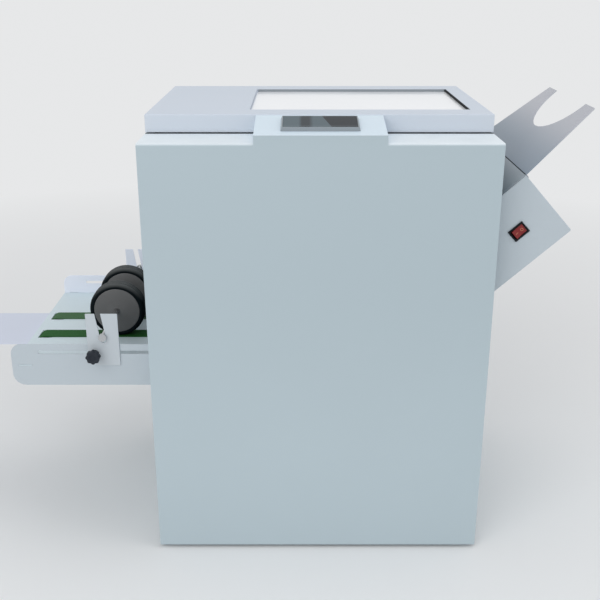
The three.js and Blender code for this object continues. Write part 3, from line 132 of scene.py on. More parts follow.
class Wiring:
    """Places nodes in one node tree and joins their sockets."""

    def __init__(self, tree: bpy.types.NodeTree) -> None:
        """Keep the tree that the nodes go into."""
        self.tree = tree

    def place(self, kind: str, inputs: Inputs | None = None, **options: object) -> bpy.types.Node:
        """Place one node.

        Args:
            kind: Its type, without the first two words, which all share.
            inputs: Values or sockets by input name or number.
            options: Settings of the node itself.

        Returns:
            The node.
        """
        node = self.tree.nodes.new("ShaderNode" + kind)
        for key, value in options.items():
            setattr(node, key, value)
        self.feed(node, inputs or {})
        return node

    def feed(self, node: bpy.types.Node, inputs: Inputs) -> None:
        """Set or link a node's inputs.

        Args:
            node: The node.
            inputs: Values or sockets by input name or number.
        """
        for key, value in inputs.items():
            if isinstance(value, Socket):
                self.tree.links.new(value, node.inputs[key])
            else:
                node.inputs[key].default_value = value

    def effect(self, effect: Effect, inputs: Inputs) -> object:
        """Place a shared effect and give its outputs."""
        return self.place("Group", inputs, node_tree=effect_group(effect)).outputs

    def where(self) -> Socket:
        """Give the place on the surface, in metres."""
        return self.place("TexCoord").outputs["Object"]

    def split(self, vector: Socket) -> object:
        """Give the three parts of a vector."""
        return self.place("SeparateXYZ", {0: vector}).outputs

    def mix(self, share: object, first: object, second: object) -> Socket:
        """Mix two colours and give the result's socket."""
        return self.place("Mix", {0: share, 6: first, 7: second}, data_type="RGBA").outputs[2]

    def sum(self, kind: str, *values: object) -> Socket:
        """Do one sum on up to three values and give its socket."""
        return self.place("Math", dict(enumerate(values)), operation=kind).outputs[0]

    def ramp(self, value: object, start: float, end: float, low: float = 0.0, high: float = 1.0) -> Socket:
        """Map a value's range from start to end onto low to high, clamped, and give its socket."""
        return self.place("MapRange", {0: value, 1: start, 2: end, 3: low, 4: high}).outputs[0]

    def noise(self, where: object, scale: object, detail: float = 3.0) -> Socket:
        """Give the value of a noise over the surface."""
        return self.place("TexNoise", {"Vector": where, "Scale": scale, "Detail": detail}).outputs[0]


class EffectTree(Wiring):
    """One shared node group, wired as it is made."""

    kinds = {"Colour": "Color", "Worn": "Color", "Dust And Top Light": "Color", "Second": "Color", "Direction": "Vector"}
    middle = 0.5
    noise_span = (0.3, 0.7)
    cloud_scale = 5.0
    cloud_detail = 4.0
    fine_detail = 2.0
    cloud_rough = (-0.04, 0.05)
    streak_scale = (6.0, 900.0, 900.0)
    streak_rough = (-0.08, 0.08)
    edge_span = (0.52, 0.6)
    chip_scale = 120.0
    chips = (0.4, 0.65, 0.25, 1.0)
    up_span = (0.3, 0.95)
    patch_scale = 14.0
    patches = (0.25, 0.75, 0.8, 1.0)
    film_rough = 0.15
    thread_span = (0.35, 0.65)

    def __init__(self, effect: Effect) -> None:
        """Open the group with its named sockets, and wire it.

        Args:
            effect: Which effect it is.
        """
        super().__init__(bpy.data.node_groups.new(effect.value, "ShaderNodeTree"))
        wire, *sides = self.wires[effect]
        for side, names in zip(("INPUT", "OUTPUT"), sides):
            for name in names:
                kind = "NodeSocket" + self.kinds.get(name, "Float")
                self.tree.interface.new_socket(name=name, in_out=side, socket_type=kind)
        self.given = self.tree.nodes.new("NodeGroupInput").outputs
        self.result = self.tree.nodes.new("NodeGroupOutput")
        wire(self)

    def fine_grain(self) -> None:
        """Cloudy drift of the colour, fine grain for the height and both for the roughness."""
        where, given = self.where(), self.given
        cloud = self.noise(where, self.cloud_scale, self.cloud_detail)
        fine = self.noise(where, self.sum("DIVIDE", 1.0, given["Size"]), self.fine_detail)
        bright = self.sum("MULTIPLY", self.sum("SUBTRACT", cloud, self.middle), given["Drift"])
        speck = self.sum("MULTIPLY", self.sum("SUBTRACT", fine, self.middle), given["Drift"])
        gain = self.sum("ADD", self.sum("ADD", bright, 1.0), speck)
        scaled = self.place("VectorMath", {0: given["Colour"], 3: gain}, operation="SCALE")
        rough = self.sum("ADD", given["Roughness"], self.ramp(cloud, *self.noise_span, *self.cloud_rough))
        self.feed(self.result, {"Colour": scaled.outputs[0], "Roughness": rough, "Height": fine})

    def drawn_streaks(self) -> None:
        """Fine lines along the machine's width, as on drawn or brushed metal."""
        given = self.given
        stretched = self.place(
            "VectorMath", {0: self.where(), 1: self.streak_scale}, operation="MULTIPLY",
        ).outputs[0]
        lines = self.noise(stretched, 1.0, self.fine_detail)
        rough = self.sum("ADD", given["Roughness"], self.ramp(lines, *self.noise_span, *self.streak_rough))
        self.feed(self.result, {"Roughness": rough, "Height": self.sum("MULTIPLY", lines, given["Depth"])})

    def edge_wear(self) -> None:
        """Rubbed edges, broken up by a noise."""
        edge = self.ramp(self.place("NewGeometry").outputs["Pointiness"], *self.edge_span)
        broken = self.ramp(self.noise(self.where(), self.chip_scale), *self.chips)
        mask = self.sum("MULTIPLY", self.sum("MULTIPLY", edge, broken), self.given["Amount"])
        self.feed(self.result, {"Colour": self.mix(mask, self.given["Colour"], self.given["Worn"])})

    def dust_and_painted_top_light(self) -> None:
        """A layer on the faces that look up: dust on the rubber parts, painted top light on the cabinet and
        the tyres, painted top shade on the lid.
        """
        normal = self.place("NewGeometry").outputs["Normal"]
        up = self.ramp(self.split(normal)[2], *self.up_span)
        patchy = self.ramp(self.noise(self.where(), self.patch_scale, self.cloud_detail), *self.patches)
        mask = self.sum("MULTIPLY", self.sum("MULTIPLY", up, patchy), self.given["Amount"])
        rough = self.sum("MULTIPLY_ADD", mask, self.film_rough, self.given["Roughness"])
        dusted_and_lit = self.mix(mask, self.given["Colour"], self.given["Dust And Top Light"])
        self.feed(self.result, {"Colour": dusted_and_lit, "Roughness": rough})

    def belt_weave(self) -> None:
        """Crossed threads of a woven belt cover."""
        place = self.split(self.where())
        turns = self.sum("DIVIDE", 2 * math.pi, self.given["Pitch"])
        along = self.sum("SINE", self.sum("MULTIPLY", place[0], turns))
        across = self.sum("SINE", self.sum("MULTIPLY", place[1], turns))
        height = self.ramp(self.sum("MULTIPLY", along, across), -1.0, 1.0)
        self.feed(self.result, {"Height": height, "Mask": self.ramp(height, *self.thread_span)})

    def painted_light_grade(self) -> None:
        """A slow change from one colour to another along a direction, which paints light and shade."""
        given = self.given
        along = self.place(
            "VectorMath", {0: self.where(), 1: given["Direction"]}, operation="DOT_PRODUCT",
        ).outputs["Value"]
        limits = {"Value": along, "From Min": given["From"], "From Max": given["To"]}
        mask = self.place("MapRange", limits, interpolation_type="SMOOTHSTEP").outputs[0]
        self.feed(self.result, {"Colour": self.mix(mask, given["Colour"], given["Second"])})

    wires = {
        Effect.GRAIN: (
            fine_grain, ("Colour", "Drift", "Size", "Roughness"), ("Colour", "Roughness", "Height"),
        ),
        Effect.STREAKS: (drawn_streaks, ("Roughness", "Depth"), ("Roughness", "Height")),
        Effect.WEAR: (edge_wear, ("Colour", "Worn", "Amount"), ("Colour",)),
        Effect.DUST_AND_TOP_LIGHT: (dust_and_painted_top_light, ("Colour", "Dust And Top Light", "Amount", "Roughness"), ("Colour", "Roughness")),
        Effect.WEAVE: (belt_weave, ("Pitch",), ("Height", "Mask")),
        Effect.GRADE: (painted_light_grade, ("Colour", "Second", "Direction", "From", "To"), ("Colour",)),
    }


@cache
def effect_group(effect: Effect) -> bpy.types.NodeTree:
    """Give an effect's node group, made at the first call only."""
    return EffectTree(effect).tree


@dataclass(frozen=True)
class Grade:
    """A second colour that a finish turns into along a direction, as painted light and shade."""

    colour: Colour
    direction: Point
    start: float
    end: float


@dataclass(frozen=True)
class Finish:
    """A surface finish with grain, and where asked with streaks, worn edges, grades of painted light and
    shade, and a layer on the upward faces that is dust on some finishes and painted top light and shade on
    others.
    """

    name: str
    slot: Slot
    colour: Colour
    roughness: float
    metallic: float = 0.0
    coat: float = 0.0
    coat_roughness: float = 0.2
    gloss: float = 0.5
    drift: float = 0.05
    grain_size: float = 0.9 * MM
    relief: float = 0.08
    relief_depth: float = 0.2 * MM
    streak: float = 0.0
    wear: float = 0.0
    worn: Colour = shade(205, 208, 210)
    # The layer on upward faces is dust on some finishes and painted top light and shade on others.
    dust_and_top_light: float = 0.0
    dust_and_top_light_colour: Colour = shade(225, 232, 238)
    grades: tuple[Grade, ...] = ()

    @cache
    def material(self) -> bpy.types.Material:
        """Build the finish's material, at the first call only.

        Returns:
            The material.
        """
        made = bpy.data.materials.new(self.name)
        made.use_nodes = True
        made.node_tree.nodes.clear()
        wiring = Wiring(made.node_tree)
        colour, rough, height = self.surface(wiring)
        bump = {"Strength": self.relief, "Distance": self.relief_depth, "Height": height}
        shader = wiring.place("BsdfPrincipled", {
            "Base Color": colour, "Roughness": rough, "Metallic": self.metallic, "Coat Weight": self.coat,
            "Coat Roughness": self.coat_roughness, "Specular IOR Level": self.gloss,
            "Normal": wiring.place("Bump", bump).outputs[0],
        })
        wiring.place("OutputMaterial", {"Surface": shader.outputs[0]})
        return made

    def surface(self, wiring: Wiring) -> tuple[Socket, ...]:
        """Chain the effects.

        Args:
            wiring: The material's wiring.

        Returns:
            The sockets of colour, roughness and height.
        """
        grain = wiring.effect(Effect.GRAIN, {
            "Colour": self.colour, "Drift": self.drift, "Size": self.grain_size, "Roughness": self.roughness,
        })
        colour, rough, height = grain["Colour"], grain["Roughness"], grain["Height"]
        # Each grade paints light and shade across the part.
        for grade in self.grades:
            colour = wiring.effect(Effect.GRADE, {
                "Colour": colour, "Second": grade.colour, "Direction": grade.direction,
                "From": grade.start, "To": grade.end,
            })["Colour"]
        if self.streak:
            lines = wiring.effect(Effect.STREAKS, {"Roughness": rough, "Depth": self.streak})
            rough, height = lines["Roughness"], wiring.sum("ADD", height, lines["Height"])
        if self.wear:
            worn = {"Colour": colour, "Worn": self.worn, "Amount": self.wear}
            colour = wiring.effect(Effect.WEAR, worn)["Colour"]
        # Layer on upward faces: dust on some finishes, painted top light and shade on others.
        if self.dust_and_top_light:
            dust_and_top_light = {"Colour": colour, "Dust And Top Light": self.dust_and_top_light_colour, "Amount": self.dust_and_top_light, "Roughness": rough}
            colour, rough = wiring.effect(Effect.DUST_AND_TOP_LIGHT, dust_and_top_light)[:2]
        return colour, rough, height


@dataclass(frozen=True)
class BeltFinish(Finish):
    """Woven green belt cover."""

    pitch: float = 1.6 * MM
    thread: Colour = shade(20, 44, 24)
    thread_share: float = 0.35

    def surface(self, wiring: Wiring) -> tuple[Socket, ...]:
        """Add the weave to the shared chain.

        Args:
            wiring: The material's wiring.

        Returns:
            The sockets of colour, roughness and height.
        """
        colour, rough, height = super().surface(wiring)
        weave = wiring.effect(Effect.WEAVE, {"Pitch": self.pitch})
        darker = wiring.mix(self.thread_share, colour, self.thread)
        return wiring.mix(weave["Mask"], darker, colour), rough, wiring.sum("ADD", height, weave["Height"])


@dataclass(frozen=True)
class ScreenFinish(Finish):
    """Dark display glass with broad bands of painted reflection and a dim margin line."""

    left: float = 78.3 * MM
    width: float = 110.0 * MM
    front: float = -208.1 * MM
    depth: float = 47.6 * MM
    reflection_start: Span = (0.21, 0.255)
    reflection_end: Span = (0.41, 0.35)
    reflection_share: float = 0.85
    slant: float = 0.118
    slanted_reflection_start: Span = (0.643, 0.653)
    line_start: Span = (0.1, 0.12)
    line_end: Span = (0.15, 0.13)
    line_share: float = 0.3
    # Pale and dark tones of the painted reflection bands.
    pale: Colour = shade(76, 92, 100)
    dark: Colour = shade(0, 12, 25)
    line: Colour = shade(120, 128, 134)

    def surface(self, wiring: Wiring) -> tuple[Socket, ...]:
        """Lay the bands of painted reflection over the glass.

        Args:
            wiring: The material's wiring.

        Returns:
            The sockets of colour, roughness and height.
        """
        _, rough, height = super().surface(wiring)
        place = wiring.split(wiring.where())
        across = wiring.ramp(place[0], self.left, self.left + self.width)
        up = wiring.ramp(place[1], self.front, self.front + self.depth)
        start, end = wiring.ramp(across, *self.reflection_start), wiring.ramp(across, *self.reflection_end)
        reflection_band = wiring.sum("MULTIPLY", wiring.sum("MULTIPLY", start, end), self.reflection_share)
        slanted_reflection = wiring.ramp(wiring.sum("MULTIPLY_ADD", up, self.slant, across), *self.slanted_reflection_start)
        painted_reflection = wiring.mix(wiring.sum("MAXIMUM", reflection_band, slanted_reflection), self.pale, self.dark)
        line = wiring.sum("MULTIPLY", wiring.ramp(up, *self.line_start), wiring.ramp(up, *self.line_end))
        return wiring.mix(wiring.sum("MULTIPLY", line, self.line_share), painted_reflection, self.line), rough, height


class Finishes:
    """Every finish of the machine."""

    # Painted shade: the cabinet darkens towards the top of the panels. Painted light: a paler layer on upward
    # faces such as the shelf.
    cabinet = Finish(
        "cabinet_powder_coat_painted_light", Slot.CABINET, shade(182, 197, 204), 0.5, coat=0.1,
        dust_and_top_light=0.8, dust_and_top_light_colour=shade(240, 247, 253),
        grades=(Grade(shade(176, 191, 198), (0.0, 0.0, 1.0), 0.15, 0.5),),
    )
    console = Finish("console_satin", Slot.CABINET, shade(211, 226, 237), 0.45, coat=0.15)
    # Painted shade: a dark strip that stands for the shadow in the gap under the lid's front.
    shelf_shade = Finish("shelf_gap_painted_shade", Slot.CABINET, shade(18, 26, 36), 0.7, gloss=0.2, relief=0.2)
    # Painted shade: a darker layer on the lid's upward faces.
    lid = Finish(
        "lid_satin_painted_shade", Slot.LID, shade(204, 212, 222), 0.42, coat=0.2,
        dust_and_top_light=0.6, dust_and_top_light_colour=shade(195, 206, 221),
    )
    # Painted shade of the window recess walls: pale at the left end, grey between, black at the right end.
    lid_shade_strip = Finish("window_recess_painted_shade", Slot.LID, shade(186, 194, 206), 0.7, gloss=0.2, grades=(
        Grade(shade(138, 145, 151), (1.0, 0.0, 0.0), 0.0255, 0.027),
        Grade(shade(12, 18, 22), (1.0, 0.0, 0.0), 0.3705, 0.3715),
    ))
    window = Finish(
        "window_acrylic_white", Slot.WINDOW, shade(250, 252, 255), 0.14, drift=0.02, relief=0.02, coat=0.3,
    )
    # Painted reflection: fixed pale and dark bands on the glass.
    glass = ScreenFinish("screen_glass_painted_reflection", Slot.GLASS, shade(70, 80, 86), 0.1, gloss=0.12, relief=0.01)
    screen_frame = Finish("screen_frame_grey", Slot.SCREEN_FRAME, shade(139, 148, 155), 0.4, coat=0.2)
    inner = Finish("inner_powder_coat", Slot.INNER, shade(187, 197, 204), 0.5, coat=0.1)
    # Painted light: a paler copy of the inner paint for the upward-facing delivery deck.
    inner_painted_light = Finish("delivery_powder_coat_painted_light", Slot.INNER, shade(210, 224, 230), 0.5, coat=0.1)
    # Painted light: a paler copy of the inner paint for the rear plate and the rear bracket.
    far_painted_light = Finish("far_plate_powder_coat_painted_light", Slot.INNER, shade(236, 241, 252), 0.5, coat=0.1)
    leaf = Finish("tray_leaf_powder_coat", Slot.INNER, shade(212, 218, 233), 0.5, coat=0.1)
    # Painted light: a paler copy of the inner paint for the front bracket.
    bracket = Finish("bracket_powder_coat_painted_light", Slot.INNER, shade(194, 202, 208), 0.45, coat=0.15)
    # Painted highlight: the bright line along the feed sides' rounded outer edges.
    edge_highlight = Finish("painted_fold_highlight", Slot.INNER, shade(244, 247, 251), 0.35, coat=0.4)
    # Painted shade: a dark bead that stands for the shadow in the joint of the feed bed and the fork.
    shade_strip = Finish("joint_gap_painted_shade", Slot.INNER, shade(34, 40, 46), 0.7, gloss=0.2)
    # Painted sheen: the fork turns paler up its slope towards the prong tips.
    tray = Finish(
        "fork_powder_coat_painted_sheen", Slot.INNER, shade(128, 142, 157), 0.4, coat=0.25,
        grades=(Grade(shade(178, 180, 188), (0.743, 0.0, 0.669), 0.775, 0.87),),
    )
    # Painted shade: the bed is painted dark as if under the lid, lightening towards its right end.
    bed = Finish(
        "feed_bed_satin_painted_shade", Slot.INNER, shade(103, 117, 127), 0.38, coat=0.2,
        grades=(Grade(shade(160, 168, 175), (1.0, 0.0, 0.0), 0.405, 0.45),),
    )
    aluminium = Finish(
        "frame_aluminium_drawn", Slot.ALUMINIUM, shade(196, 198, 201), 0.35, metallic=1.0, streak=0.8,
    )
    steel = Finish("bare_steel_ground", Slot.STEEL, shade(186, 188, 190), 0.26, metallic=1.0, streak=0.5)
    dark_steel = Finish(
        "dark_steel_oiled", Slot.DARK_STEEL, shade(92, 96, 101), 0.36, metallic=0.9, streak=0.3,
    )
    roller = Finish("roller_rubber_grey", Slot.ROLLER, shade(66, 68, 72), 0.75, relief=0.3, dust_and_top_light=0.2)
    foot = Finish("foot_rubber_black", Slot.FOOT, shade(38, 39, 41), 0.8, relief=0.4, dust_and_top_light=0.25)
    plastic = Finish("black_plastic_grained", Slot.PLASTIC, shade(36, 38, 42), 0.45, relief=0.35, coat=0.1)
    bezel = Finish("switch_bezel_plastic", Slot.PLASTIC, shade(12, 15, 20), 0.5, gloss=0.2, relief=0.2)
    knob = Finish(
        "knob_plastic", Slot.PLASTIC, shade(34, 40, 48), 0.55, gloss=0.25, relief=0.3,
        wear=0.2, worn=shade(84, 90, 98),
    )
    rocker = Finish("rocker_red", Slot.ROCKER, shade(124, 4, 6), 0.35, relief=0.05, coat=0.25)
    mark = Finish("rocker_mark", Slot.ROCKER, shade(196, 128, 96), 0.5)
    nylon = Finish("gear_nylon_cream", Slot.NYLON, shade(214, 208, 192), 0.5, relief=0.1)
    motor = Finish("motor_case_black", Slot.MOTOR, shade(52, 55, 60), 0.42, metallic=0.4, relief=0.2)
    # Painted light: the rear belt is paler than the front one.
    belt = BeltFinish(
        "belt_green_weave", Slot.BELT, shade(32, 92, 36), 0.7, gloss=0.2, relief=0.5,
        grades=(Grade(shade(70, 110, 72), (0.0, 1.0, 0.0), -0.02, 0.03),),
    )
    # Painted highlight: a pale layer on the tyre's upward faces.
    tyre = Finish(
        "tyre_rubber_painted_highlight", Slot.TYRE, shade(6, 15, 19), 0.7, gloss=0.08, relief=0.3,
        dust_and_top_light=0.8, dust_and_top_light_colour=shade(108, 110, 110),
    )
    hub = Finish("wheel_disc_grey", Slot.TYRE, shade(92, 92, 92), 0.5, relief=0.12, wear=0.3)


CARRIED: dict[Finish, tuple[str, ...]] = {
    Finishes.cabinet: ("base_plate",),
    Finishes.inner: ("side_guide_front", "side_guide_rear", "paper_stop"),
    Finishes.bed: ("feed_bed",),
    Finishes.aluminium: ("frame_front", "frame_rear", "stapler_beam", "clinch_beam"),
    Finishes.steel: (
        "press_axle", "lid_hinge_left", "lid_hinge_right", "staple_driver_front", "staple_driver_rear",
        "fold_knife", "knife_shaft", "idler_roller", "drive_roller",
    ),
    Finishes.dark_steel: ("stapler_head_front", "stapler_head_rear", "motor_pulley"),
    Finishes.roller: ("fold_roller_upper", "fold_roller_lower"),
    Finishes.plastic: ("power_inlet", "main_drive_belt", "delivery_drive_belt"),
    Finishes.nylon: ("roller_gear_upper", "roller_gear_lower"),
    Finishes.motor: ("main_motor",),
    Finishes.belt: ("conveyor_belt_front", "conveyor_belt_rear"),
}


@dataclass(frozen=True)
class Ring:
    """One ring of a turned piece: a circle, a polygon or a fluted circle."""

    radius: float
    along: float
    corners: int = 0
    flutes: int = 0
    flute_depth: float = 0.0

    def point(self, angle: float) -> Vector:
        """Find a point of the ring.

        Args:
            angle: Where it lies, in radians.

        Returns:
            The point, with its height in the stack as z.
        """
        reach = self.radius * (1 - self.flute_depth * (0.5 - 0.5 * math.cos(self.flutes * angle)))
        if self.corners:
            part = 2 * math.pi / self.corners
            reach /= math.cos(angle % part - part / 2)
        return Vector((reach * math.cos(angle), reach * math.sin(angle), self.along))


def stack(*rows: tuple[float, ...]) -> list[Ring]:
    """Read rings from rows of radius, height, corners and flutes, in millimetres."""
    return [Ring(row[0] * MM, row[1] * MM, *row[2:]) for row in rows]


def skin(bench: Mesh, loops: list[list[bmesh.types.BMVert]], closed: bool = False) -> None:
    """Cover a row of loops with faces.

    Args:
        bench: The mesh that the loops are in.
        loops: The loops, in order, all with the same number of points.
        closed: Whether the last loop joins the first, with all faces turned outward. Otherwise both
            ends get a face.
    """
    for lower, upper in zip(loops, loops[1:] + loops[:1] if closed else loops[1:]):
        for index in range(len(lower)):
            after = (index + 1) % len(lower)
            bench.faces.new((lower[index], lower[after], upper[after], upper[index]))
    if closed:
        bmesh.ops.recalc_face_normals(bench, faces=bench.faces)
    else:
        bench.faces.new(list(reversed(loops[0])))
        bench.faces.new(loops[-1])


def turned(
    bench: Mesh, centre: Sequence[float], axis: Axis, rings: Sequence[Ring],
    steps: int = 48, hollow: bool = False,
) -> None:
    """Turn a stack of rings.

    Args:
        bench: The mesh that takes them.
        centre: Where the stack's zero lies.
        axis: The stack's direction.
        rings: The rings, in order along the axis.
        steps: Points in each ring.
        hollow: Whether the stack is a loop round an open middle.
    """
    start, turn = Vector(centre), axis.value.to_track_quat("Z", "Y")
    angles = [2 * math.pi * step / steps for step in range(steps)]
    loops = [[bench.verts.new(start + turn @ ring.point(angle)) for angle in angles] for ring in rings]
    skin(bench, loops, hollow)


def box_middle(node: str) -> Vector:
    """Give the middle of a CAD node's box."""
    low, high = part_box(node)
    return (low + high) / 2


def node_mesh(node: str) -> Mesh:
    """Copy a CAD node's mesh with its flat faces joined up.

    Args:
        node: The node's name.

    Returns:
        The copy, ready for rounding.
    """
    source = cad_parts[node].data
    bench = bmesh.new()
    bench.edges.layers.float.new(WIDTHS)
    points = [bench.verts.new(vertex.co) for vertex in source.vertices]
    for face in source.polygons:
        bench.faces.new([points[index] for index in face.vertices])
    bmesh.ops.remove_doubles(bench, verts=bench.verts, dist=WELD)
    bmesh.ops.dissolve_degenerate(bench, dist=WELD, edges=bench.edges)
    bmesh.ops.dissolve_limit(bench, angle_limit=FLAT_ANGLE, verts=bench.verts, edges=bench.edges)
    bench.normal_update()
    return bench


def lies_on(edge: bmesh.types.BMEdge, along: int, *places: float) -> bool:
    """Tell whether an edge lies on one of some planes across an axis."""
    return any(all(abs(end.co[along] - place) < NEAR for end in edge.verts) for place in places)


def soften(bench: Mesh, edges: Sequence[bmesh.types.BMEdge], radius: float) -> None:
    """Mark chosen edges of a mesh for a wider rounding than the rest."""
    for edge in edges:
        edge[bench.edges.layers.float[WIDTHS]] = radius


def share_widths(bench: Mesh, rounding: float) -> float:
    """Give every sharp edge its share of the widest rounding.

    Args:
        bench: The mesh, with the wider edges marked.
        rounding: The width for all other sharp edges.

    Returns:
        The widest rounding.
    """
    widths = bench.edges.layers.float.get(WIDTHS) or bench.edges.layers.float.new(WIDTHS)
    for edge in bench.edges:
        if not edge[widths] and edge.is_manifold and edge.calc_face_angle() > SHARP_ANGLE:
            edge[widths] = rounding
    widest = max(rounding, max(edge[widths] for edge in bench.edges))
    for edge in bench.edges:
        edge[widths] /= widest
    return widest


def place_object(name: str, data: bpy.types.ID) -> bpy.types.Object:
    """Put a mesh, a light or a camera into the scene.

    Args:
        name: The object's name.
        data: What it holds.

    Returns:
        The object.
    """
    made = bpy.data.objects.new(name, data)
    bpy.context.scene.collection.objects.link(made)
    return made


def make_piece(
    name: str, bench: Mesh, finish: Finish, body: str,
    replaces: Sequence[str] = (), rounding: float = 0.0, segments: int = 3, rim: Finish | None = None,
) -> None:
    """Turn a finished mesh into a piece of the machine.

    Args:
        name: The piece's name.
        bench: The mesh, which is used up.
        finish: What it is finished with.
        body: The CAD body that it rides on.
        replaces: The CAD nodes that it stands for.
        rounding: The width of its rounded edges, or 0 for none.
        segments: How many steps round each edge.
        rim: What its rounded edges are finished with, if not the same.
    """
    mesh = bpy.data.meshes.new(name)
    bench.normal_update()
    widest = share_widths(bench, rounding) if rounding else 0.0
    bench.to_mesh(mesh)
    bench.free()
    mesh.shade_smooth()
    mesh.set_sharp_from_angle(angle=SHARP_ANGLE)
    for paint in (finish, rim) if rim else (finish,):
        mesh.materials.append(paint.material())
    piece = place_object(name, mesh)
    if rounding:
        bevel = piece.modifiers.new("rounding", "BEVEL")
        bevel.width, bevel.segments = widest, segments
        bevel.limit_method = "WEIGHT"
        bevel.use_clamp_overlap = True
        bevel.material = 1 if rim else -1
        bevel.harden_normals = True
        state = bpy.context.evaluated_depsgraph_get()
        shaped = piece.evaluated_get(state)
        piece.data = bpy.data.meshes.new_from_object(shaped, preserve_all_data_layers=True, depsgraph=state)
        piece.modifiers.clear()
    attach(piece, body)
    if replaces:
        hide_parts(*replaces)
    LOG.info("%s rides on %s with %d faces", name, body, len(piece.data.polygons))


def rounded(name: str, node: str, finish: Finish, body: str, rounding: float) -> None:
    """Replace a CAD node by its own shape with rounded edges."""
    make_piece(name, node_mesh(node), finish, body, (node,), rounding)


@dataclass(frozen=True)
class Screw:
    """A button head with a hexagon socket, its profile in shares of radius and height."""

    radius: float = 3.6
    height: float = 1.9
    steps: int = 24
    profile: Rows = (
        (1, 0), (1, 0.3), (0.92, 0.62), (0.74, 0.88), (0.56, 1), (0.42, 1, 6), (0.38, 0.25, 6),
    )

    def add(self, bench: Mesh, place: Sequence[float], axis: Axis) -> None:
        """Add one head to a mesh, at its place on the sheet and looking along an axis."""
        rows = ((wide * self.radius, tall * self.height, *rest) for wide, tall, *rest in self.profile)
        turned(bench, place, axis, stack(*rows), self.steps)


@dataclass
class Cabinet:
    """The outer sheet metal with its screws, vent hoods, bumpers and feet."""

    fold: float = 0.6 * MM
    bend: float = 2.4 * MM
    bend_least: float = 300 * MM
    body: str = "cabinet"
    screw: Screw = Screw()
    edge_inset: float = 16 * MM
    heights: tuple[float, ...] = (40 * MM, 210 * MM, 375 * MM, 655 * MM)
    vents: int = 7
    vent_pitch: float = 14 * MM
    vent_low: float = 480 * MM
    vent_half: float = 46 * MM
    hood: float = 3.2 * MM
    hood_steps: int = 5
    hood_skins: Rows = ((1.0, 2.0), (0.7, 1.7))
    hood_ends: Rows = ((-1, 0.3), (-0.96, 0.8), (-0.9, 1), (0.9, 1), (0.96, 0.8), (1, 0.3))
    hinge_leaf: float = 2 * MM
    hinge_rise: float = 14 * MM
    hinge_spread: float = 24 * MM
    bumper_front: float = 110 * MM
    bumper_rear: float = 40 * MM
    bumper: Rows = ((4, 0.02), (4, 0.6), (3.6, 1.1), (2.8, 1.3))
    foot: Rows = ((5, 0.6), (6, 0), (11.6, 0), (13, 0.5), (13.6, 1.4), (14.4, 5.4), (14.9, 6.3), (15, 7.7))

    def build(self) -> None:
        """Make the four covers, the screws, the hoods, the bumpers and the feet."""
        for side in ("left", "right", "rear"):
            rounded(f"{side}_panel", f"{side}_cover", Finishes.cabinet, self.body, self.fold)
        self.add_front()
        self.add_screws()
        self.add_hoods()
        self.add_hinge_screws()
        self.add_bumpers()
        self.add_feet()

    def add_front(self) -> None:
        """Bend the front panel's upright corners with a wide radius."""
        low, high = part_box("front_cover")
        bench = node_mesh("front_cover")
        bends = [
            edge for edge in bench.edges
            if lies_on(edge, 0, low.x, high.x) and lies_on(edge, 1, low.y)
            and edge.calc_length() > self.bend_least
        ]
        soften(bench, bends, self.bend)
        make_piece("front_panel", bench, Finishes.cabinet, self.body, ("front_cover",), self.fold, WIDE_STEPS)

    def add_screws(self) -> None:
        """Set a row of screws along both upright edges of the side and rear covers."""
        for side, axis in (("left", Axis.LEFT), ("right", Axis.X), ("rear", Axis.Y)):
            low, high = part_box(f"{side}_cover")
            across = 0 if axis is Axis.Y else 1
            bench = bmesh.new()
            for edge in (low[across] + self.edge_inset, high[across] - self.edge_inset):
                for height in self.heights:
                    place = Vector((low.x if axis is Axis.LEFT else high.x, high.y, height))
                    place[across] = edge
                    self.screw.add(bench, place, axis)
            make_piece(f"{side}_panel_screws", bench, Finishes.steel, self.body)

    def add_hinge_screws(self) -> None:
        """Set three screws in each hinge leaf."""
        bench = bmesh.new()
        for side in ("left", "right"):
            low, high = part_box(f"lid_hinge_{side}")
            middle = (low.x + high.x) / 2
            for step in (-1, 0, 1):
                place = (middle + step * self.hinge_spread, low.y + self.hinge_leaf, low.z + self.hinge_rise)
                self.screw.add(bench, place, Axis.Y)
        make_piece("hinge_screws", bench, Finishes.steel, self.body)

    def add_bumpers(self) -> None:
        """Set rubber bumpers on the side covers for the lid to rest on."""
        bench = bmesh.new()
        for side in ("left", "right"):
            low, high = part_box(f"{side}_cover")
            for y in (low.y + self.bumper_front, high.y - self.bumper_rear):
                place = ((low.x + high.x) / 2, y, high.z)
                turned(bench, place, Axis.Z, stack(*self.bumper), self.screw.steps)
        make_piece("lid_bumpers", bench, Finishes.foot, self.body)

    def add_hoods(self) -> None:
        """Press a rounded hood over each vent of the rear cover."""
        low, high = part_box("rear_cover")
        middle = (low.x + high.x) / 2
        turns = [math.pi / 2 * step / self.hood_steps for step in range(self.hood_steps + 1)]
        outer, inner = (
            [(out * math.sin(turn), rise * math.cos(turn)) for turn in turns] for out, rise in self.hood_skins
        )
        outline = outer + inner[::-1]
        bench = bmesh.new()
        for row in range(self.vents):
            base = self.vent_low + row * self.vent_pitch
            loops = []
            for end, shrink in self.hood_ends:
                x, deep = middle + end * self.vent_half, self.hood * shrink
                points = [(x, high.y + deep * out, base + self.hood * up) for out, up in outline]
                loops.append([bench.verts.new(point) for point in points])
            skin(bench, loops)
        make_piece("vent_hoods", bench, Finishes.cabinet, self.body)

    def add_feet(self) -> None:
        """Turn the rubber feet, with a tread ring and a rounded rim."""
        for corner in ("front_left", "front_right", "rear_left", "rear_right"):
            node = f"foot_{corner}"
            centre = box_middle(node)
            bench = bmesh.new()
            turned(bench, (centre.x, centre.y, 0), Axis.Z, stack(*self.foot))
            make_piece(f"rubber_{node}", bench, Finishes.foot, self.body, (node,))


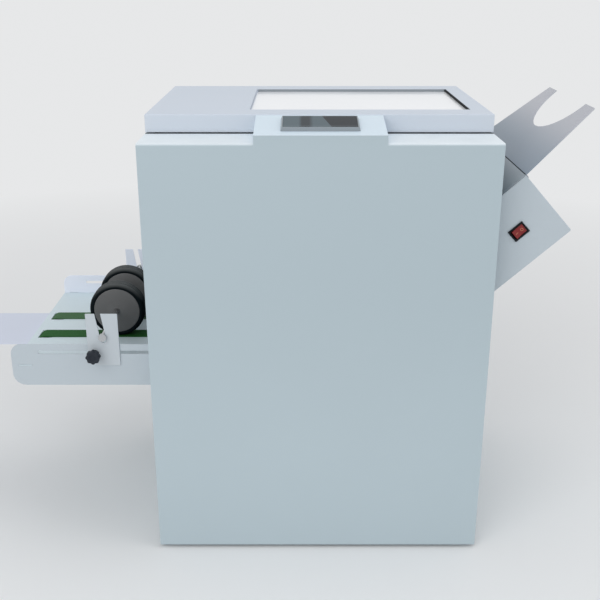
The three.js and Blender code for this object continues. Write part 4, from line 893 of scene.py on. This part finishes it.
@dataclass
class Console:
    """The housing, its touch panel and the strip of painted shade behind the shelf."""

    edge: float = 0.9 * MM
    fine_edge: float = 0.3 * MM
    shelf_strip_edge: float = 0.2 * MM
    shelf_strip_gap: float = 0.4 * MM
    shelf_strip_width: float = 2.6 * MM
    shelf_strip_rise: float = 0.6 * MM
    body: str = "cabinet"

    def build(self) -> None:
        """Make the housing, the panel's frame, its glass and the strip of painted shade."""
        rounded("console_shell", "console_housing", Finishes.console, self.body, self.edge)
        rounded("touch_panel_frame", "screen_frame", Finishes.screen_frame, self.body, self.fine_edge)
        rounded("touch_panel_glass", "screen_glass", Finishes.glass, self.body, self.fine_edge)
        self.add_shelf_shade()

    def add_shelf_shade(self) -> None:
        """Lay a dark strip along the shelf's rear edge, on both sides of the housing, as painted shade of the
        gap under the lid.
        """
        shelf_low, shelf_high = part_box("front_cover")
        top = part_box("left_cover")[1].z
        house_low, house_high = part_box("console_housing")
        bench = bmesh.new()
        spans = ((shelf_low.x, house_low.x - self.shelf_strip_gap), (house_high.x + self.shelf_strip_gap, shelf_high.x))
        for start, end in spans:
            middle = Vector(((start + end) / 2, shelf_high.y - self.shelf_strip_width / 2, top + self.shelf_strip_rise / 2))
            size = Vector((end - start - 2 * self.shelf_strip_gap, self.shelf_strip_width, self.shelf_strip_rise))
            bmesh.ops.create_cube(bench, size=1.0, matrix=Matrix.LocRotScale(middle, None, size))
        make_piece("shelf_rear_shade_strip", bench, Finishes.shelf_shade, self.body, rounding=self.shelf_strip_edge)


@dataclass
class Lid:
    """The lid's shell with its window and a strip of painted shade round the window's opening."""

    edge: float = 1.0 * MM
    pane_edge: float = MM / 3
    brow: float = 3.0 * MM
    lap: float = 8 * MM
    shade_strip: float = 0.9 * MM
    window_strip_gap: float = 0.03 * MM
    strip_rise: float = 4.2 * MM
    window_strip_crown: Rows = ((0.5, 0), (0.85, 0.3), (1, 0.8))
    body: str = "lid"

    def build(self) -> None:
        """Make the shell, the window and the strip of painted shade round it."""
        low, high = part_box("lid")
        bench = node_mesh("lid")
        brows = [
            edge for edge in bench.edges
            if lies_on(edge, 2, high.z)
            and (lies_on(edge, 0, low.x, high.x) or lies_on(edge, 1, low.y, high.y))
        ]
        soften(bench, brows, self.brow)
        make_piece("lid_cover", bench, Finishes.lid, self.body, ("lid",), self.edge, WIDE_STEPS)
        rounded("lid_window_pane", "lid_window", Finishes.window, self.body, self.pane_edge)
        self.add_shade_strip()

    def add_shade_strip(self) -> None:
        """Line the window's opening with a strip of painted shade for its walls: pale at the left end, grey
        between, black at the right end.
        """
        low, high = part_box("lid_window")
        base = high.z + self.window_strip_gap
        top = base + self.strip_rise
        crown = [(inward * self.shade_strip, top - down * self.shade_strip) for inward, down in self.window_strip_crown]
        bench = bmesh.new()
        loops = []
        for inward, height in ((self.window_strip_gap, base), (self.window_strip_gap, top), *crown, (self.shade_strip, base)):
            inset = self.lap + inward
            left, right, near, far = low.x + inset, high.x - inset, low.y + inset, high.y - inset
            corners = ((left, near), (right, near), (right, far), (left, far))
            loops.append([bench.verts.new((x, y, height)) for x, y in corners])
        skin(bench, loops, closed=True)
        make_piece("lid_window_shade_strip", bench, Finishes.lid_shade_strip, self.body)


@dataclass
class FeedBox:
    """The inclined feed box and its fork tray."""

    edge: float = 0.4 * MM
    outer_edge: float = 1.5 * MM
    rim_least: float = 60 * MM
    screw: Screw = Screw(steps=18)
    screw_spread: float = 120 * MM
    screw_drop: float = 7.2 * MM
    flange_face: float = 1.8 * MM
    joint_strip_half: float = 0.8 * MM
    strip_rise: float = 0.4
    joint_strip_lift: float = 0.04 * MM
    joint_strip_steps: int = 8
    joint: Point = (445.343 * MM, 0, 634.6 * MM)
    body: str = "cabinet"

    def build(self) -> None:
        """Make the box's sides, its cover and the fork."""
        self.add_sides()
        rounded("feed_box_cover", "infeed_cover", Finishes.inner, self.body, self.edge)
        rounded("fork", "fork_tray", Finishes.tray, self.body, self.edge)
        self.add_shade_strip()
        self.add_screws()

    def add_screws(self) -> None:
        """Set the screws of the fork's flange, which look away along the bed."""
        bench = bmesh.new()
        for step in (-1, 0, 1):
            self.screw.add(bench, (0, box_middle("fork_tray").y + step * self.screw_spread, 0), Axis.X)
        face = Vector(self.joint) + FEED_ALONG * self.flange_face - FEED_UP * self.screw_drop
        leaning = Matrix.Translation(face) @ Matrix.Rotation(-FEED_TILT, 4, "Y")
        bmesh.ops.transform(bench, matrix=leaning, verts=bench.verts)
        make_piece("fork_flange_screws", bench, Finishes.steel, self.body)

    def add_sides(self) -> None:
        """Round the outer edge of both side plates, on their outward faces."""
        # The rim finish paints the highlight on the rounded outer edges.
        paint, bright = Finishes.inner, Finishes.edge_highlight
        for end, side in enumerate(("front", "rear")):
            node = f"infeed_side_{side}"
            bench = node_mesh(node)
            rim = [
                edge for edge in bench.edges
                if lies_on(edge, 1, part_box(node)[end].y) and edge.calc_length() > self.rim_least
                and edge.calc_face_angle() > SHARP_ANGLE
            ]
            soften(bench, rim, self.outer_edge)
            make_piece(f"feed_side_{side}", bench, paint, self.body, (node,), self.edge, WIDE_STEPS, bright)

    def add_shade_strip(self) -> None:
        """Lay a thin dark bead over the joint of the feed bed and the fork, as painted shade of the gap."""
        low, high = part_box("fork_tray")
        start = Vector(self.joint) + FEED_UP * self.joint_strip_lift
        turns = [math.pi * step / self.joint_strip_steps for step in range(self.joint_strip_steps + 1)]
        rim = [FEED_ALONG * math.cos(turn) + FEED_UP * math.sin(turn) * self.strip_rise for turn in turns]
        bench = bmesh.new()
        skin(bench, [
            [bench.verts.new(start + Vector((0, y, 0)) + reach * self.joint_strip_half) for reach in rim]
            for y in (low.y + self.outer_edge, high.y - self.outer_edge)
        ])
        bmesh.ops.recalc_face_normals(bench, faces=bench.faces)
        make_piece("fork_joint_shade_strip", bench, Finishes.shade_strip, self.body)


@dataclass
class PowerSwitch:
    """The red rocker switch with its on and off marks."""

    edge: float = 0.5 * MM
    facing: float = -0.9
    mark_outer: float = 2.4 * MM
    mark_inner: float = 1.7 * MM
    bar_half: float = 0.35 * MM
    lift: float = 0.06 * MM
    steps: int = 24

    def build(self) -> None:
        """Make the switch body, its rocker and the marks."""
        rounded("switch_bezel", "power_switch_body", Finishes.bezel, "cabinet", self.edge)
        rounded("switch_rocker", "power_rocker", Finishes.rocker, "rocker", self.edge)
        self.add_marks()

    def add_marks(self) -> None:
        """Lay a bar on one facet of the rocker and a ring on the other."""
        source = node_mesh("power_rocker")
        facets = [face for face in source.faces if face.normal.y < self.facing]
        facets = sorted(facets, key=lambda face: -face.calc_area())[:2]
        facets.sort(key=lambda face: face.calc_center_median().x)
        bench = bmesh.new()
        for face, is_ring in zip(facets, (False, True)):
            centre = face.calc_center_median() + face.normal * self.lift
            side = face.normal.cross(FEED_ALONG).normalized()
            along = side.cross(face.normal)
            if is_ring:
                self.add_ring(bench, centre, along, side)
            else:
                reach, wide = along * self.mark_outer, side * self.bar_half
                corners = (reach + wide, wide - reach, -reach - wide, reach - wide)
                bench.faces.new([bench.verts.new(centre + corner) for corner in corners])
        source.free()
        bmesh.ops.recalc_face_normals(bench, faces=bench.faces)
        solid = bmesh.ops.extrude_face_region(bench, geom=bench.faces[:])
        moved = [item for item in solid["geom"] if isinstance(item, bmesh.types.BMVert)]
        bmesh.ops.translate(bench, verts=moved, vec=Vector((0, self.lift, 0)))
        make_piece("rocker_marks", bench, Finishes.mark, "rocker")

    def add_ring(self, bench: Mesh, centre: Vector, along: Vector, side: Vector) -> None:
        """Draw the ring of the off mark.

        Args:
            bench: The mesh that takes it.
            centre: Its middle.
            along: One direction in its plane.
            side: The other direction in its plane.
        """
        turns = [2 * math.pi * step / self.steps for step in range(self.steps)]
        rim = [along * math.cos(turn) + side * math.sin(turn) for turn in turns]
        radii = (self.mark_inner, self.mark_outer)
        inner, outer = ([bench.verts.new(centre + reach * radius) for reach in rim] for radius in radii)
        for step in range(self.steps):
            after = (step + 1) % self.steps
            bench.faces.new((inner[step], outer[step], outer[after], inner[after]))


@dataclass
class Delivery:
    """The belt delivery and its flat tray."""

    edge: float = 0.4 * MM

    def build(self) -> None:
        """Make the side plates, the bed and the tray."""
        # The rear plate's paler paint is painted light.
        for side, paint in (("front", Finishes.inner), ("rear", Finishes.far_painted_light)):
            rounded(f"delivery_plate_{side}", f"delivery_side_{side}", paint, "cabinet", self.edge)
        # The deck's paler paint is painted light.
        rounded("delivery_deck", "delivery_bed", Finishes.inner_painted_light, "cabinet", self.edge)
        rounded("delivery_leaf", "delivery_tray", Finishes.leaf, "tray", self.edge)


@dataclass
class PressWheels:
    """The press wheels with their brackets and knobs."""

    edge: float = 0.4 * MM
    disc: Rows = (
        (4.3, 16.6), (5.2, 16.6), (5.6, 16.2), (5.8, 15.7), (38.2, 15.6), (39, 15.3), (39.4, 14.8),
        (39.5, 14.2),
    )
    tyre: Rows = (
        (39.3, 14.6), (40.6, 15.1), (42.4, 14.9), (44.6, 13.7), (46.4, 11.9), (47.4, 10), (47.7, 8.2),
        (47.7, 6.3), (47.1, 6), (47.1, 5.4), (47.7, 5.1), (47.7, 0.4), (47.1, 0.1),
    )
    knob: Rows = (
        (2.4, -7.6), (2.4, 1.6), (6.3, 1.8), (6.5, 2.2), (6.5, 11), (10.2, 11.1, 0, 8, 0.12),
        (11.3, 11.5, 0, 8, 0.128), (11.8, 12.6, 0, 8, 0.128), (11.8, 20.2, 0, 8, 0.128),
        (11.3, 21.3, 0, 8, 0.128), (10.3, 21.9, 0, 8, 0.1), (6.2, 22), (5.6, 21.6), (5.4, 21.1), (2, 21),
    )
    knob_top: float = 22 * MM
    nut: Rows = ((4.6, -7.2, 6), (5, -6.9, 6), (5, -4.6, 6), (4.6, -4.3, 6))
    steps: int = 96

    def build(self) -> None:
        """Make the brackets, wheels and knobs."""
        # Both brackets' paints are paler copies of the inner paint: painted light.
        for side, outward, paint in (
            ("front", Axis.FRONT, Finishes.bracket), ("rear", Axis.Y, Finishes.far_painted_light),
        ):
            rounded(f"wheel_bracket_{side}", f"press_bracket_{side}", paint, "wheel_carriage", self.edge)
            self.add_wheel(side)
            self.add_knob(side, outward)

    @staticmethod
    def mirrored(half: Rows) -> Rows:
        """Give the other half of a profile."""
        return tuple((radius, -along) for radius, along in reversed(half))

    def add_wheel(self, side: str) -> None:
        """Turn a grey disc and the rubber tyre round it.

        Args:
            side: Which of the two wheels.
        """
        node = f"press_wheel_{side}"
        for part, finish, rows, hollow, replaces in (
            ("disc", Finishes.hub, self.mirrored(self.disc) + self.disc, False, (node,)),
            ("tyre", Finishes.tyre, self.tyre + self.mirrored(self.tyre), True, ()),
        ):
            bench = bmesh.new()
            turned(bench, box_middle(node), Axis.FRONT, stack(*rows), self.steps, hollow)
            make_piece(f"wheel_{part}_{side}", bench, finish, f"wheel_{side}", replaces)

    def add_knob(self, side: str, outward: Axis) -> None:
        """Turn a lobed knob with its stud and nut.

        Args:
            side: Which of the two knobs.
            outward: Which way the knob looks.
        """
        node = f"clamp_knob_{side}"
        low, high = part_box(node)
        centre = box_middle(node)
        centre.y = (low.y if outward is Axis.FRONT else high.y) - outward.value.y * self.knob_top
        bench = bmesh.new()
        for profile in (self.knob, self.nut):
            turned(bench, centre, outward, stack(*profile), self.steps)
        make_piece(f"thumb_knob_{side}", bench, Finishes.knob, f"knob_{side}", (node,))


@dataclass
class Studio:
    """Floor, light and camera."""

    floor_half: float = 6.0
    floor_parts: int = 8
    floor_fade: Span = (0.8, 2.6)
    camera_place: Point = (0.10354, -1.51807, 0.92379)
    camera_tilt: float = math.radians(69.841)
    camera_lens: float = 53.734
    camera_sensor: float = 36.0
    sky: float = 0.72
    backdrop: float = 0.95
    pale: Colour = shade(236, 237, 238)
    aim: Point = (0.1, 0.0, 0.4)
    lamps: tuple[tuple[str, Point, float, float], ...] = (
        ("front_softbox", (-1.3, -2.6, 2.1), 2.4, 35.0),
        ("top_softbox", (0.3, 0.1, 2.9), 2.0, 10.0),
        ("right_softbox", (2.4, -0.9, 1.6), 1.6, 10.0),
    )

    def build(self) -> None:
        """Make the whole studio."""
        self.lay_floor()
        self.set_sky()
        self.hang_lamps()
        self.place_camera()

    def lay_floor(self) -> None:
        """Lay one wide pale floor under the feet."""
        bench = bmesh.new()
        parts = self.floor_parts
        bmesh.ops.create_grid(bench, x_segments=parts, y_segments=parts, size=self.floor_half)
        mesh = bpy.data.meshes.new("studio_floor")
        bench.to_mesh(mesh)
        bench.free()
        mesh.materials.append(self.floor_material())
        floor = place_object("studio_floor", mesh)

    def floor_material(self) -> bpy.types.Material:
        """Make the floor's paper, which fades into the pale background far from the machine.

        Returns:
            The material.
        """
        made = Finish("floor_paper", Slot.CABINET, self.pale, 0.9, drift=0.01, relief=0.02).material()
        wiring = Wiring(made.node_tree)
        length = wiring.place("VectorMath", {0: wiring.where()}, operation="LENGTH").outputs[1]
        seen = wiring.place("LightPath").outputs["Is Camera Ray"]
        share = wiring.sum("MULTIPLY", wiring.ramp(length, *self.floor_fade), seen)
        glow = wiring.place("Emission", {"Color": self.pale, "Strength": self.backdrop})
        end = made.node_tree.get_output_node("ALL")
        paper = end.inputs["Surface"].links[0].from_socket
        faded = wiring.place("MixShader", {0: share, 1: paper, 2: glow.outputs[0]})
        wiring.feed(end, {"Surface": faded.outputs[0]})
        return made

    def set_sky(self) -> None:
        """Light all round softly, and show a pale background."""
        world = bpy.data.worlds.new("studio_sky")
        world.use_nodes = True
        world.node_tree.nodes.clear()
        wiring = Wiring(world.node_tree)
        path = wiring.place("LightPath").outputs
        seen = wiring.sum("MAXIMUM", path["Is Glossy Ray"], path["Is Transmission Ray"])
        seen = wiring.sum("MAXIMUM", path["Is Camera Ray"], seen)
        strength = wiring.ramp(seen, 0.0, 1.0, self.sky, self.backdrop)
        sky = wiring.place("Background", {"Color": self.pale, "Strength": strength})
        wiring.place("OutputWorld", {"Surface": sky.outputs[0]})
        bpy.context.scene.world = world

    def hang_lamps(self) -> None:
        """Hang the softboxes, aimed at the machine."""
        for name, place, size, power in self.lamps:
            light = bpy.data.lights.new(name, "AREA")
            light.size, light.energy = size, power
            lamp = place_object(name, light)
            lamp.location = place
            lamp.rotation_euler = (Vector(self.aim) - lamp.location).to_track_quat("-Z", "Y").to_euler()

    def place_camera(self) -> None:
        """Stand the camera where the photograph was taken from."""
        lens = bpy.data.cameras.new("photo_camera")
        lens.lens, lens.sensor_width = self.camera_lens, self.camera_sensor
        camera = place_object("photo_camera", lens)
        camera.location = self.camera_place
        camera.rotation_euler = (self.camera_tilt, 0.0, 0.0)
        bpy.context.scene.camera = camera


def dress_carried() -> None:
    """Give every CAD node that stays its finish."""
    for finish, nodes in CARRIED.items():
        for node in nodes:
            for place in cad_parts[node].material_slots:
                place.material = finish.material()


def main() -> None:
    """Build the machine and its studio, in order."""
    logging.basicConfig(level=logging.INFO, format="%(message)s")
    bpy.context.scene.view_settings.view_transform = "Standard"
    Studio().build()
    dress_carried()
    for assembly in (Cabinet, Console, Lid, FeedBox, PowerSwitch, Delivery, PressWheels):
        assembly().build()


if __name__ == "__main__":
    main()
